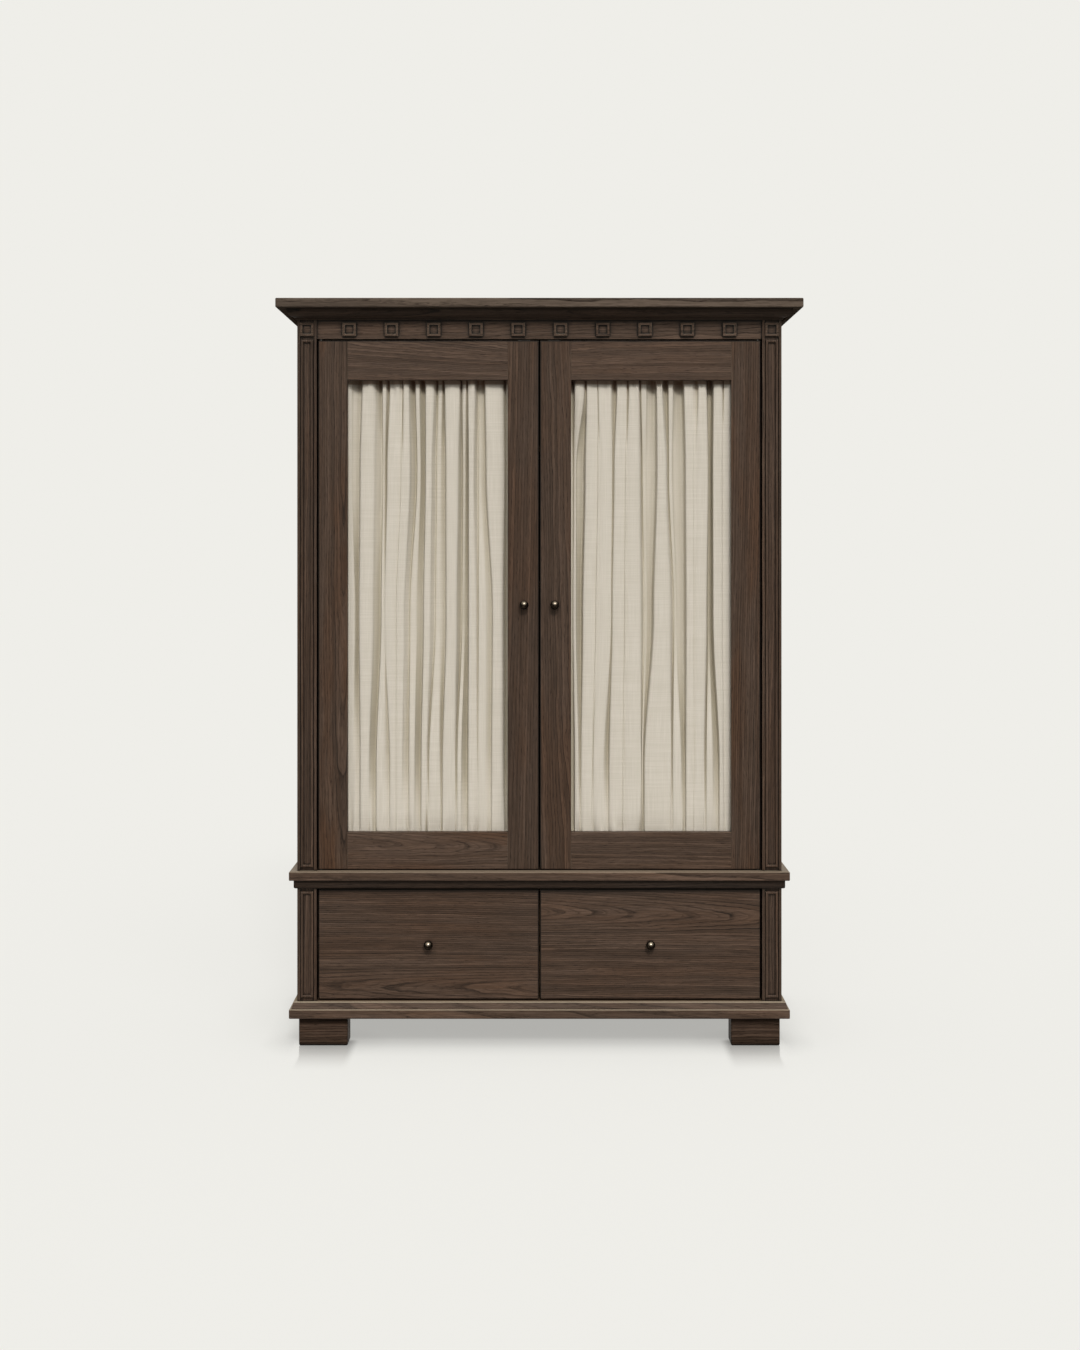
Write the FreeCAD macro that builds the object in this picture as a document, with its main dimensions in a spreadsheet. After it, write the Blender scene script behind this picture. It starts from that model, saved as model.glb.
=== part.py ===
import FreeCAD, Part
import math
import os
import re
import Sketcher

# A tall two-part cabinet: a cupboard with two curtained doors over two drawers side by side.
# Millimetres. X runs to the right, Y to the back and Z up, from the floor under its middle.

SIZES = {
    # Case
    "case_width": 1356.0,
    "case_depth": 546.0,
    "side_thickness": 24.0,
    "back_thickness": 8.0,
    "back_rebate": 12.0,
    "rail_depth": 60.0,
    "partition_thickness": 18.0,
    # Feet and base
    "foot_height": 81.0,
    "foot_width": 137.0,
    "foot_depth": 70.0,
    "foot_side_inset": 4.0,
    "foot_front_inset": 3.0,
    "foot_rounding": 5.0,
    "base_board_thickness": 26.0,
    "base_overhang": 21.0,
    "base_moulding_height": 19.0,
    "base_moulding_foot": 16.0,
    "base_moulding_head": 10.0,
    # Waist
    "waist_moulding_height": 24.0,
    "waist_moulding_projection": 9.0,
    "waist_moulding_round": 6.0,
    "waist_board_thickness": 25.0,
    "waist_overhang": 21.0,
    # Frieze and cornice
    "frieze_height": 53.0,
    "frieze_tenon_length": 20.0,
    "frieze_tenon_thickness": 9.0,
    "frieze_tenon_shoulder": 14.0,
    "block_width": 38.0,
    "block_thickness": 7.5,
    "block_border": 6.5,
    "block_recess": 5.0,
    "block_chamfer": 1.0,
    "cornice_fillet_height": 5.0,
    "cornice_fillet_projection": 4.0,
    "ovolo_radius": 24.0,
    "cornice_board_thickness": 26.0,
    "cornice_overhang": 54.0,
    "board_rounding": 3.0,
    # Pilasters
    "pilaster_width": 54.0,
    "pilaster_depth": 28.0,
    "channel_width": 40.0,
    "channel_depth": 5.0,
    "bead_groove": 2.0,
    "bead_width": 8.0,
    "bead_height": 6.5,
    "bead_rounding": 3.0,
    "bead_end_gap": 9.0,
    "bead_head_gap": 2.0,
    # Doors
    "door_opening_height": 1489.0,
    "door_bottom_gap": 3.0,
    "door_top_gap": 4.0,
    "door_setback": 8.0,
    "door_thickness": 20.0,
    "front_side_gap": 4.0,
    "front_meeting_gap": 4.0,
    "hinge_stile_width": 82.0,
    "meeting_stile_width": 87.0,
    "top_rail_width": 110.0,
    "bottom_rail_width": 104.0,
    "tenon_length": 45.0,
    "tenon_thickness": 7.0,
    "tenon_shoulder": 15.0,
    "joint_clearance": 0.2,
    # Door pivots and catches
    "pivot_inset": 7.0,
    "pivot_setback": 6.0,
    "pivot_pin_radius": 2.5,
    "pivot_engagement": 7.0,
    "pivot_plate_length": 44.0,
    "pivot_plate_width": 8.0,
    "pivot_plate_thickness": 2.5,
    "pivot_fit": 0.05,
    "seat_clearance": 0.3,
    "catch_width": 34.0,
    "catch_depth": 18.0,
    "catch_drop": 24.0,
    "catch_rise": 20.0,
    "catch_inset": 24.0,
    "strike_thickness": 2.0,
    "strike_height": 16.0,
    # Curtains and their rods
    "rod_radius": 4.0,
    "rod_fit": 0.05,
    "rod_offset": 45.0,
    "rod_standoff": 15.0,
    "rod_end": 5.0,
    "bracket_inset": 16.0,
    "bracket_arm_width": 8.0,
    "bracket_wall": 3.0,
    "bracket_plate_width": 16.0,
    "bracket_plate_height": 34.0,
    "curtain_overlap": 9.0,
    "cloth_thickness": 2.4,
    "heading_height": 17.0,
    "heading_depth": 15.0,
    "heading_fit": 0.3,
    "fold_drift": 3.0,
    # Drawers
    "drawer_opening_height": 316.0,
    "drawer_gap": 4.0,
    "drawer_setback": 8.0,
    "drawer_front_thickness": 22.0,
    "drawer_front_rounding": 2.0,
    "drawer_lip_thickness": 9.0,
    "drawer_box_rise": 20.0,
    "drawer_box_height": 236.0,
    "drawer_box_length": 452.0,
    "drawer_side_thickness": 14.0,
    "drawer_bottom_thickness": 6.0,
    "drawer_bottom_rise": 12.0,
    "drawer_groove_depth": 6.0,
    "drawer_back_inset": 12.0,
    "dovetail_width": 31.0,
    "dovetail_flare": 2.5,
    "runner_reach": 10.0,
    "runner_height": 40.0,
    "runner_length": 450.0,
    "slide_height": 24.0,
    "slide_gap": 4.0,
    "slide_engagement": 6.0,
    "slide_clearance": 0.3,
    # Shelves
    "shelf_thickness": 20.0,
    "shelf_setback": 90.0,
    "shelf_clearance": 1.0,
    "shelf_rounding": 2.0,
    "shelf_pin_radius": 3.0,
    "shelf_pin_length": 24.0,
    "shelf_pin_inset": 50.0,
    # Knobs
    "knob_radius": 13.0,
    "knob_projection": 30.0,
    "knob_base_radius": 8.0,
    "knob_base_thickness": 2.5,
    "knob_neck_radius": 4.5,
    "knob_stud_radius": 2.5,
    "knob_stud_length": 15.0,
    "knob_stud_fit": 0.1,
    "door_knob_height": 1235.0,
    "door_knob_inset": 41.0,
    # Depth that a cutting tool runs past the face it cuts
    "cut_overrun": 2.0,
}

# Places and sizes that follow from the ones above.
PLACES = {
    "case_front": "(cornice_overhang - case_depth) / 2",
    "case_back": "(cornice_overhang + case_depth) / 2",
    "case_edge": "case_width / 2",
    "side_inner": "case_edge - side_thickness",
    "pilaster_inner": "case_edge - pilaster_width",
    "channel_floor": "case_front + channel_depth",
    "back_inner": "case_back - back_thickness",
    "base_top": "foot_height + base_board_thickness",
    "drawer_floor": "base_top + base_moulding_height",
    "drawer_ceiling": "drawer_floor + drawer_opening_height",
    "waist_bottom": "drawer_ceiling + waist_moulding_height",
    "waist_top": "waist_bottom + waist_board_thickness",
    "door_head": "waist_top + door_opening_height",
    "cornice_moulding_bottom": "door_head + frieze_height",
    "cornice_moulding_height": "cornice_fillet_height + ovolo_radius",
    "cornice_moulding_projection": "cornice_fillet_projection + ovolo_radius",
    "cornice_bottom": "cornice_moulding_bottom + cornice_moulding_height",
    "upper_height": "cornice_bottom - waist_top",
    "lower_height": "waist_bottom - base_top",
    "frieze_rail_height": "cornice_bottom - door_head",
    "frieze_rail_thickness": "pilaster_depth - channel_depth",
    "frieze_tenon_front": "channel_floor + (frieze_rail_thickness - frieze_tenon_thickness) / 2",
    "front_outer": "pilaster_inner - front_side_gap",
    "front_inner": "front_meeting_gap / 2",
    "door_face": "case_front + door_setback",
    "door_back": "door_face + door_thickness",
    "door_bottom": "waist_top + door_bottom_gap",
    "door_top": "door_head - door_top_gap",
    "door_height": "door_top - door_bottom",
    "opening_outer": "front_outer - hinge_stile_width",
    "opening_inner": "front_inner + meeting_stile_width",
    "opening_top": "door_top - top_rail_width",
    "opening_bottom": "door_bottom + bottom_rail_width",
    "tenon_front": "door_face + (door_thickness - tenon_thickness) / 2",
    "pivot_side": "front_outer - pivot_inset",
    "pivot_depth": "door_face + pivot_setback",
    "pivot_plate_inset": "pivot_inset - pivot_plate_width / 2",
    "rod_depth": "door_back + rod_standoff",
    "rod_high": "opening_top + rod_offset",
    "rod_low": "opening_bottom - rod_offset",
    "drawer_face": "case_front + drawer_setback",
    "drawer_front_back": "drawer_face + drawer_front_thickness",
    "drawer_bottom_edge": "drawer_floor + drawer_gap",
    "drawer_front_height": "drawer_opening_height - 2 * drawer_gap",
    "drawer_box_outer": "pilaster_inner - runner_reach - slide_gap",
    "drawer_box_inner": "partition_thickness / 2 + runner_reach + slide_gap",
    "drawer_box_bottom": "drawer_floor + drawer_box_rise",
    "drawer_panel_bottom": "drawer_box_bottom + drawer_bottom_rise",
    "drawer_side_inner": "drawer_box_inner + drawer_side_thickness",
    "drawer_side_outer": "drawer_box_outer - drawer_side_thickness",
    "drawer_back_place": "drawer_front_back + drawer_box_length - drawer_side_thickness - drawer_back_inset",
    "drawer_back_bottom": "drawer_panel_bottom + drawer_bottom_thickness + joint_clearance",
    "drawer_back_height": "drawer_box_bottom + drawer_box_height - drawer_back_bottom",
    "dovetail_length": "drawer_front_thickness - drawer_lip_thickness - joint_clearance",
    "dovetail_tip": "drawer_front_back - dovetail_length",
    "runner_front": "case_front + rail_depth",
    "runner_bottom": "drawer_box_bottom + (drawer_box_height - runner_height) / 2",
    "slide_bottom": "runner_bottom + (runner_height - slide_height) / 2",
    "slide_length": "drawer_front_back + drawer_box_length - runner_front",
    "shelf_front": "door_back + shelf_setback",
    "shelf_step": "upper_height / 4",
}

# Shares of a curtain's width taken by its folds, from one edge to the other.
FOLD_SHARES = (
    1.0, 0.8, 1.2, 0.9, 1.1, 0.7, 0.9, 1.3, 1.0, 0.8, 1.1, 1.2,
    0.7, 1.0, 0.9, 1.3, 0.8, 1.0, 1.2, 0.9, 0.7, 1.1, 1.0, 0.9,
)
FOLD_ANGLE = math.radians(72)
FOLD_DRIFT_WAVES = 3
FRIEZE_BLOCK_COUNT = 12
DOVETAIL_COUNT = 5
SHELF_NAMES = ("lower", "middle", "upper")
SIDES = ("left", "right")

# Turns about an upright axis, and from upright to lying along the width or towards the front.
TURN_HALF = FreeCAD.Rotation(FreeCAD.Vector(0, 0, 1), 180)
TURN_LEFT = FreeCAD.Rotation(FreeCAD.Vector(0, 0, 1), 90)
TURN_RIGHT = FreeCAD.Rotation(FreeCAD.Vector(0, 0, 1), -90)
ALONG_WIDTH = FreeCAD.Rotation(FreeCAD.Vector(0, 1, 0), 90)
TOWARDS_FRONT = FreeCAD.Rotation(FreeCAD.Vector(1, 0, 0), 90)
NEAR_ZERO = 1e-6

document = FreeCAD.newDocument("tall_cabinet")
sheet = document.addObject("Spreadsheet::Sheet", "sizes")
for row, (size_name, size) in enumerate(SIZES.items(), start=1):
    sheet.set(f"A{row}", size_name)
    sheet.set(f"B{row}", str(size))
    sheet.setAlias(f"B{row}", size_name)
document.recompute()

nodes = []


def formula(text):
    """Write out a formula of size and place names in terms of the sheet's cells."""

    def written(match):
        word = match.group()
        if word in SIZES:
            return f"sizes.{word}"
        if word in PLACES:
            return f"({formula(PLACES[word])})"
        return word

    return re.sub(r"[a-z_]+", written, text)


def measure(text):
    """The present value of a formula."""
    return float(sheet.evalExpression(formula(text)))


def bind(piece, name, text):
    piece.setExpression(name, formula(text))


def put(piece, place, turn=None):
    """Place a piece by formulas, after an optional turn."""
    if turn:
        piece.Placement = FreeCAD.Placement(FreeCAD.Vector(), turn)
    for axis, text in zip("xyz", place):
        bind(piece, f"Placement.Base.{axis}", text)
    return piece


def keep(piece):
    """Count a finished sub-part as a node of the cabinet."""
    nodes.append(piece)
    return piece


def left_edge(side, near, far):
    """Left edge of a piece that lies from near to far of the middle, on the given side."""
    return near if side == "right" else f"-({far})"


def beside(side, distance):
    """A place at a distance from the middle, on the given side."""
    return distance if side == "right" else f"-({distance})"


# Shapes that many sub-parts share

def box(name, size, place):
    """A square-edged board."""
    piece = document.addObject("Part::Box", name)
    for edge, text in zip(("Length", "Width", "Height"), size):
        bind(piece, edge, text)
    return put(piece, place)


def rod(name, radius, length, place, turn=None):
    """A round bar that starts at place, upright unless turned."""
    piece = document.addObject("Part::Cylinder", name)
    bind(piece, "Radius", radius)
    bind(piece, "Height", length)
    return put(piece, place, turn)


def group(name, pieces):
    """Several solids in one object."""
    piece = document.addObject("Part::Compound", name)
    piece.Links = pieces
    return piece


def joined(name, pieces):
    """Several shapes made into one solid."""
    piece = document.addObject("Part::MultiFuse", name)
    piece.Shapes = pieces
    piece.Refine = True
    return piece


def cut(name, base, tools):
    """A piece with tools cut out of it."""
    piece = document.addObject("Part::Cut", name)
    piece.Base = base
    piece.Tool = group(f"{name}_cuts", tools)
    return piece


def sketch_in(body, role, name):
    """A sketch on one of a body's own origin planes."""
    plane = next(item for item in body.Origin.OriginFeatures if item.Role == role)
    sketch = body.newObject("Sketcher::SketchObject", name)
    sketch.AttachmentSupport = [(plane, "")]
    sketch.MapMode = "FlatFace"
    return sketch


def fix_point(sketch, edge, end, corner):
    """Hold the end of an edge at a corner given by two formulas."""
    for text, kind, axis in zip(corner, ("DistanceX", "DistanceY"), (-2, -1)):
        if text == "0":
            sketch.addConstraint(Sketcher.Constraint("PointOnObject", edge, end, axis))
            continue
        index = sketch.addConstraint(Sketcher.Constraint(kind, -1, 1, edge, end, measure(text)))
        sketch.setExpression(f"Constraints[{index}]", formula(text))


def arc_between(start, end, radius):
    """An arc of less than a half circle that bulges to the right of the way from start to end."""
    chord = end - start
    rise = math.sqrt(radius ** 2 - (chord.Length / 2) ** 2)
    left = FreeCAD.Vector(-chord.y, chord.x, 0).normalize()
    centre = (start + end) / 2 + left * rise
    first = math.atan2(start.y - centre.y, start.x - centre.x)
    last = math.atan2(end.y - centre.y, end.x - centre.x)
    circle = Part.Circle(centre, FreeCAD.Vector(0, 0, 1), radius)
    return Part.ArcOfCircle(circle, first, last)


def draw_outline(sketch, corners):
    """Draw a closed outline; a corner with a third formula starts an arc of that radius."""
    first_edge = len(sketch.Geometry)
    points = [FreeCAD.Vector(measure(corner[0]), measure(corner[1]), 0) for corner in corners]
    for index, corner in enumerate(corners):
        start = points[index]
        end = points[(index + 1) % len(points)]
        if len(corner) == 3:
            sketch.addGeometry(arc_between(start, end, measure(corner[2])))
        else:
            sketch.addGeometry(Part.LineSegment(start, end))
    for index, corner in enumerate(corners):
        edge = first_edge + index
        following = first_edge + (index + 1) % len(corners)
        sketch.addConstraint(Sketcher.Constraint("Coincident", edge, 2, following, 1))
    for index, corner in enumerate(corners):
        edge = first_edge + index
        fix_point(sketch, edge, 1, corner[:2])
        if len(corner) == 3:
            number = sketch.addConstraint(Sketcher.Constraint("Radius", edge, measure(corner[2])))
            sketch.setExpression(f"Constraints[{number}]", formula(corner[2]))


def rectangle(width, height, inset="0"):
    """Corners of a rectangle whose sides lie an inset inside the given width and height."""
    right = f"{width} - ({inset})"
    top = f"{height} - ({inset})"
    return [(inset, inset), (right, inset), (right, top), (inset, top)]


def pad(body, sketch, length):
    feature = body.newObject("PartDesign::Pad", f"{body.Name}_pad")
    feature.Profile = sketch
    bind(feature, "Length", length)
    document.recompute()
    return feature


def profile_bar(name, role, corners, length):
    """A body of one outline padded to a length."""
    body = document.addObject("PartDesign::Body", name)
    sketch = sketch_in(body, role, f"{name}_outline")
    draw_outline(sketch, corners)
    return body, pad(body, sketch, length)


def edge_names(shape, wanted):
    """Names of the edges for which wanted is true."""
    return [f"Edge{number}" for number, edge in enumerate(shape.Edges, start=1) if wanted(edge)]


def soften(body, kind, size_property, size, wanted):
    """Round or chamfer the wanted edges of a body's last feature."""
    base = body.Tip
    feature = body.newObject(f"PartDesign::{kind}", f"{body.Name}_{kind.lower()}")
    feature.Base = (base, edge_names(base.Shape, wanted))
    bind(feature, size_property, size)
    document.recompute()
    return feature


def rounded_board(name, size, place, rounding):
    """A board whose edges are rounded, except those round its back."""
    length, depth, height = size
    body, padded = profile_bar(name, "XY_Plane", rectangle(length, depth), height)
    back = measure(depth)

    def off_the_back(edge):
        return any(abs(vertex.Y - back) > NEAR_ZERO for vertex in edge.Vertexes)

    soften(body, "Fillet", "Radius", rounding, off_the_back)
    return put(body, place)


# Feet and base

def feet(name, front):
    """A pair of block feet under the left and right corners."""
    near = "case_edge - foot_side_inset - foot_width"
    far = "case_edge - foot_side_inset"
    size = ("foot_width", "foot_depth", "foot_height")
    pieces = []
    for side in SIDES:
        place = (left_edge(side, near, far), front, "0")
        pieces.append(rounded_board(f"{name}_{side}", size, place, "foot_rounding"))
    keep(group(name, pieces))


def overhung_board(name, overhang, thickness, bottom, cuts=None):
    """A board over the whole case that stands past its front and sides."""
    size = (f"case_width + 2 * {overhang}", f"case_depth + {overhang}", thickness)
    place = (f"-case_edge - {overhang}", f"case_front - {overhang}", bottom)
    if not cuts:
        return keep(rounded_board(name, size, place, "board_rounding"))
    board = rounded_board(f"{name}_blank", size, place, "board_rounding")
    return keep(cut(name, board, cuts))


# Mouldings: a front length and two returns, mitred where they meet

def moulding_length(name, profile, projection, length, mitred_ends):
    """A length of moulding along its own X, its back at Y zero, with mitres at the named ends."""
    body, _ = profile_bar(name, "YZ_Plane", profile, length)
    waste = {
        "start": [("0", "0"), (projection, "0"), ("0", projection)],
        "end": [(length, "0"), (length, projection), (f"{length} - ({projection})", "0")],
    }
    for end in mitred_ends:
        sketch = sketch_in(body, "XY_Plane", f"{name}_{end}_mitre")
        draw_outline(sketch, waste[end])
        pocket = body.newObject("PartDesign::Pocket", f"{name}_{end}_pocket")
        pocket.Profile = sketch
        pocket.Type = "ThroughAll"
        pocket.SideType = "Symmetric"
        document.recompute()
    return body


def mouldings(name, profile, projection, bottom):
    """The front length of a moulding round the case, and its two returns."""
    front = moulding_length(
        f"{name}_front", profile, projection, f"case_width + 2 * ({projection})", ("start", "end"))
    keep(put(front, (f"case_edge + ({projection})", "case_front", bottom), TURN_HALF))
    depth = f"case_depth + ({projection})"
    left = moulding_length(f"{name}_left", profile, projection, depth, ("start",))
    put(left, ("-case_edge", f"case_front - ({projection})", bottom), TURN_LEFT)
    right = moulding_length(f"{name}_right", profile, projection, depth, ("end",))
    put(right, ("case_edge", "case_back", bottom), TURN_RIGHT)
    keep(group(f"{name}_returns", [left, right]))


def base_mouldings():
    """A low splayed moulding on the base board."""
    profile = [
        ("0", "0"),
        ("base_moulding_foot", "0"),
        ("base_moulding_head", "base_moulding_height"),
        ("0", "base_moulding_height"),
    ]
    mouldings("base_moulding", profile, "base_moulding_foot", "base_top")


def waist_mouldings():
    """A square moulding with a rounded lower edge, under the waist board."""
    projection = "waist_moulding_projection"
    profile = [
        ("0", "0"),
        (f"{projection} - waist_moulding_round", "0", "waist_moulding_round"),
        (projection, "waist_moulding_round"),
        (projection, "waist_moulding_height"),
        ("0", "waist_moulding_height"),
    ]
    mouldings("waist_moulding", profile, projection, "drawer_ceiling")


def cornice_mouldings():
    """A quarter-round moulding on a small fillet, under the cornice board."""
    profile = [
        ("0", "0"),
        ("cornice_fillet_projection", "0"),
        ("cornice_fillet_projection", "cornice_fillet_height", "ovolo_radius"),
        ("cornice_moulding_projection", "cornice_moulding_height"),
        ("0", "cornice_moulding_height"),
    ]
    mouldings(
        "cornice_moulding", profile, "cornice_moulding_projection", "cornice_moulding_bottom")


# Pilasters with a sunk channel, and the bead frames that lie in it

def pilaster(name, side, height, bottom, cuts=None):
    """A corner post with a channel down its front."""
    near_wall = "(pilaster_width - channel_width) / 2"
    far_wall = "(pilaster_width + channel_width) / 2"
    profile = [
        ("0", "0"),
        (near_wall, "0"),
        (near_wall, "channel_depth"),
        (far_wall, "channel_depth"),
        (far_wall, "0"),
        ("pilaster_width", "0"),
        ("pilaster_width", "pilaster_depth"),
        ("0", "pilaster_depth"),
    ]
    body_name = f"{name}_blank" if cuts else name
    body, _ = profile_bar(body_name, "XY_Plane", profile, height)
    put(body, (left_edge(side, "pilaster_inner", "case_edge"), "case_front", bottom))
    keep(cut(name, body, cuts) if cuts else body)


def frieze_mortise(side):
    """The hole in an upper pilaster for the tenon of the frieze rail."""
    size = (
        "frieze_tenon_length + joint_clearance + cut_overrun",
        "frieze_tenon_thickness + 2 * joint_clearance",
        "frieze_rail_height - 2 * frieze_tenon_shoulder + 2 * joint_clearance",
    )
    near = "pilaster_inner - cut_overrun"
    far = "pilaster_inner + frieze_tenon_length + joint_clearance"
    place = (
        left_edge(side, near, far),
        "frieze_tenon_front - joint_clearance",
        "door_head + frieze_tenon_shoulder - joint_clearance",
    )
    return box(f"frieze_mortise_{side}", size, place)


def bead_frame(name, side, bottom, top):
    """A narrow rectangular frame of half-round bead, lying in a pilaster's channel."""
    width = "(channel_width - 2 * bead_groove)"
    height = f"({top} - ({bottom}))"
    body = document.addObject("PartDesign::Body", name)
    sketch = sketch_in(body, "XY_Plane", f"{name}_outline")
    draw_outline(sketch, rectangle(width, height))
    draw_outline(sketch, rectangle(width, height, "bead_width"))
    pad(body, sketch, "bead_height")
    crown = measure("bead_height")

    def on_the_crown(edge):
        return all(abs(vertex.Z - crown) < NEAR_ZERO for vertex in edge.Vertexes)

    soften(body, "Fillet", "Radius", "bead_rounding", on_the_crown)
    left = "case_edge - (pilaster_width + channel_width) / 2 + bead_groove"
    right = f"{left} + {width}"
    return put(body, (left_edge(side, left, right), "channel_floor", bottom), TOWARDS_FRONT)


def pilasters():
    beads = []
    for side in SIDES:
        pilaster(
            f"upper_pilaster_{side}", side, "upper_height", "waist_top", [frieze_mortise(side)])
        pilaster(f"lower_pilaster_{side}", side, "lower_height", "base_top")
        beads.append(bead_frame(
            f"upper_bead_{side}", side, "waist_top + bead_end_gap", "door_head - bead_head_gap"))
        beads.append(bead_frame(
            f"lower_bead_{side}", side, "drawer_floor + bead_end_gap",
            "drawer_ceiling - bead_end_gap"))
    keep(group("pilaster_beads", beads))


# Side, back and inner panels

def side_panel(name, side, height, bottom, holes):
    """A side, rebated at its back edge for the back panel, with holes for any shelf pins."""
    near = "side_inner"
    size = ("side_thickness", "case_depth - pilaster_depth", height)
    board = box(
        f"{name}_blank", size,
        (left_edge(side, near, "case_edge"), "case_front + pilaster_depth", bottom))
    rebate_near = "side_inner - cut_overrun"
    rebate_far = "side_inner + back_rebate"
    rebate = box(
        f"{name}_rebate",
        ("back_rebate + cut_overrun", "back_thickness + cut_overrun", f"{height} + 2 * cut_overrun"),
        (left_edge(side, rebate_near, rebate_far), "back_inner", f"{bottom} - cut_overrun"))
    keep(cut(name, board, [rebate] + holes))


def back_panel(name, height, bottom):
    """A thin panel set in the rebates of the sides."""
    edge = "(side_inner + back_rebate - joint_clearance)"
    keep(box(name, (f"2 * {edge}", "back_thickness", height), (f"-{edge}", "back_inner", bottom)))


def cross_rail(name, height, bottom):
    """A flat rail between the lower pilasters."""
    size = ("2 * pilaster_inner", "rail_depth", height)
    keep(box(name, size, ("-pilaster_inner", "case_front", bottom)))


def drawer_partition():
    """The upright panel between the drawers, behind the rails."""
    size = ("partition_thickness", "back_inner - runner_front", "lower_height")
    keep(box("drawer_partition", size, ("-partition_thickness / 2", "runner_front", "base_top")))


def frieze_rail(cuts):
    """The rail over the doors, tenoned into the pilasters."""
    rail = box(
        "frieze_rail_board", ("2 * pilaster_inner", "frieze_rail_thickness", "frieze_rail_height"),
        ("-pilaster_inner", "channel_floor", "door_head"))
    reach = "(pilaster_inner + frieze_tenon_length)"
    tenon = box(
        "frieze_rail_tenon",
        (f"2 * {reach}", "frieze_tenon_thickness", "frieze_rail_height - 2 * frieze_tenon_shoulder"),
        (f"-{reach}", "frieze_tenon_front", "door_head + frieze_tenon_shoulder"))
    keep(cut("frieze_rail", joined("frieze_rail_blank", [rail, tenon]), cuts))


def frieze_blocks():
    """A row of square blocks with sunk centres, evenly spaced from pilaster to pilaster."""
    body = document.addObject("PartDesign::Body", "frieze_blocks")
    body.AllowCompound = True
    face = sketch_in(body, "XY_Plane", "frieze_block_face")
    draw_outline(face, rectangle("block_width", "block_width"))
    block = pad(body, face, "block_thickness")
    centre = sketch_in(body, "XY_Plane", "frieze_block_centre")
    draw_outline(centre, rectangle("block_width", "block_width", "block_border"))
    bind(centre, "AttachmentOffset.Base.z", "block_thickness")
    recess = body.newObject("PartDesign::Pocket", "frieze_block_recess")
    recess.Profile = centre
    bind(recess, "Length", "block_recess")
    document.recompute()
    crown = measure("block_thickness")
    width = measure("block_width")

    def on_the_rim(edge):
        on_crown = all(abs(vertex.Z - crown) < NEAR_ZERO for vertex in edge.Vertexes)
        return on_crown and edge.Length > width - NEAR_ZERO

    bevel = soften(body, "Chamfer", "Size", "block_chamfer", on_the_rim)
    row_of_blocks = body.newObject("PartDesign::LinearPattern", "frieze_block_row")
    row_of_blocks.Originals = [block, recess, bevel]
    row_of_blocks.Direction = (face, ["H_Axis"])
    row_of_blocks.Occurrences = FRIEZE_BLOCK_COUNT
    bind(row_of_blocks, "Length", "case_width - pilaster_width")
    body.Tip = row_of_blocks
    first = "-case_edge + (pilaster_width - block_width) / 2"
    middle = "door_head + (frieze_height - block_width) / 2"
    keep(put(body, (first, "channel_floor", middle), TOWARDS_FRONT))


# Shelves on pins

def pin_place(side, level, depth, reach):
    """Where a shelf pin, or its hole, starts, so that it crosses the side's inner face."""
    near = "side_inner - shelf_pin_length / 2"
    far = f"side_inner + shelf_pin_length / 2 + {reach}"
    height = f"waist_top + {level} * shelf_step - shelf_pin_radius - seat_clearance"
    return (left_edge(side, near, far), depth, height)


def shelf_pin_rows(name, side, radius, extra):
    """A row of pins, or of the holes for them, at the front and back of each shelf."""
    depths = {"front": "shelf_front + shelf_pin_inset", "rear": "back_inner - shelf_pin_inset"}
    pieces = []
    for level, shelf in enumerate(SHELF_NAMES, start=1):
        for row_name, depth in depths.items():
            pieces.append(rod(
                f"{name}_{shelf}_{row_name}_{side}", radius, f"shelf_pin_length + {extra}",
                pin_place(side, level, depth, extra), ALONG_WIDTH))
    return pieces


def shelves():
    size = (
        "2 * (side_inner - shelf_clearance)",
        "back_inner - shelf_clearance - shelf_front",
        "shelf_thickness",
    )
    for level, shelf in enumerate(SHELF_NAMES, start=1):
        place = (
            "-(side_inner - shelf_clearance)", "shelf_front", f"waist_top + {level} * shelf_step")
        keep(rounded_board(f"shelf_{shelf}", size, place, "shelf_rounding"))
    pins = []
    for side in SIDES:
        pins += shelf_pin_rows("shelf_pin", side, "shelf_pin_radius", "0")
    keep(group("shelf_pins", pins))


# Pivot hinges: a pin plate let into each end of the door, and a socket plate in the case

def pivot_plate(name, side, bottom, clearance="0"):
    """A flat plate, or with a clearance its seat, along the door from near its outer edge."""
    near = f"(front_outer - pivot_plate_inset - pivot_plate_length - {clearance})"
    far = f"(front_outer - pivot_plate_inset + {clearance})"
    size = (
        f"{far} - {near}",
        f"pivot_plate_width + 2 * {clearance}",
        f"pivot_plate_thickness + {clearance}",
    )
    depth = f"pivot_depth - pivot_plate_width / 2 - {clearance}"
    return box(name, size, (left_edge(side, near, far), depth, bottom))


def pivot_bore(name, side, radius, length, bottom):
    """An upright round bar on a door's axis."""
    return rod(name, radius, length, (beside(side, "pivot_side"), "pivot_depth", bottom))


def pivot_pins(side):
    """The two pin plates of a door."""
    low = joined(f"{side}_low_pin", [
        pivot_plate(f"{side}_low_pin_plate", side, "door_bottom"),
        pivot_bore(
            f"{side}_low_pin_bar", side, "pivot_pin_radius",
            "door_bottom_gap + pivot_engagement + pivot_plate_thickness",
            "waist_top - pivot_engagement"),
    ])
    high = joined(f"{side}_high_pin", [
        pivot_plate(f"{side}_high_pin_plate", side, "door_top - pivot_plate_thickness"),
        pivot_bore(
            f"{side}_high_pin_bar", side, "pivot_pin_radius",
            "door_top_gap + pivot_engagement + pivot_plate_thickness",
            "door_top - pivot_plate_thickness"),
    ])
    return [low, high]


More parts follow.
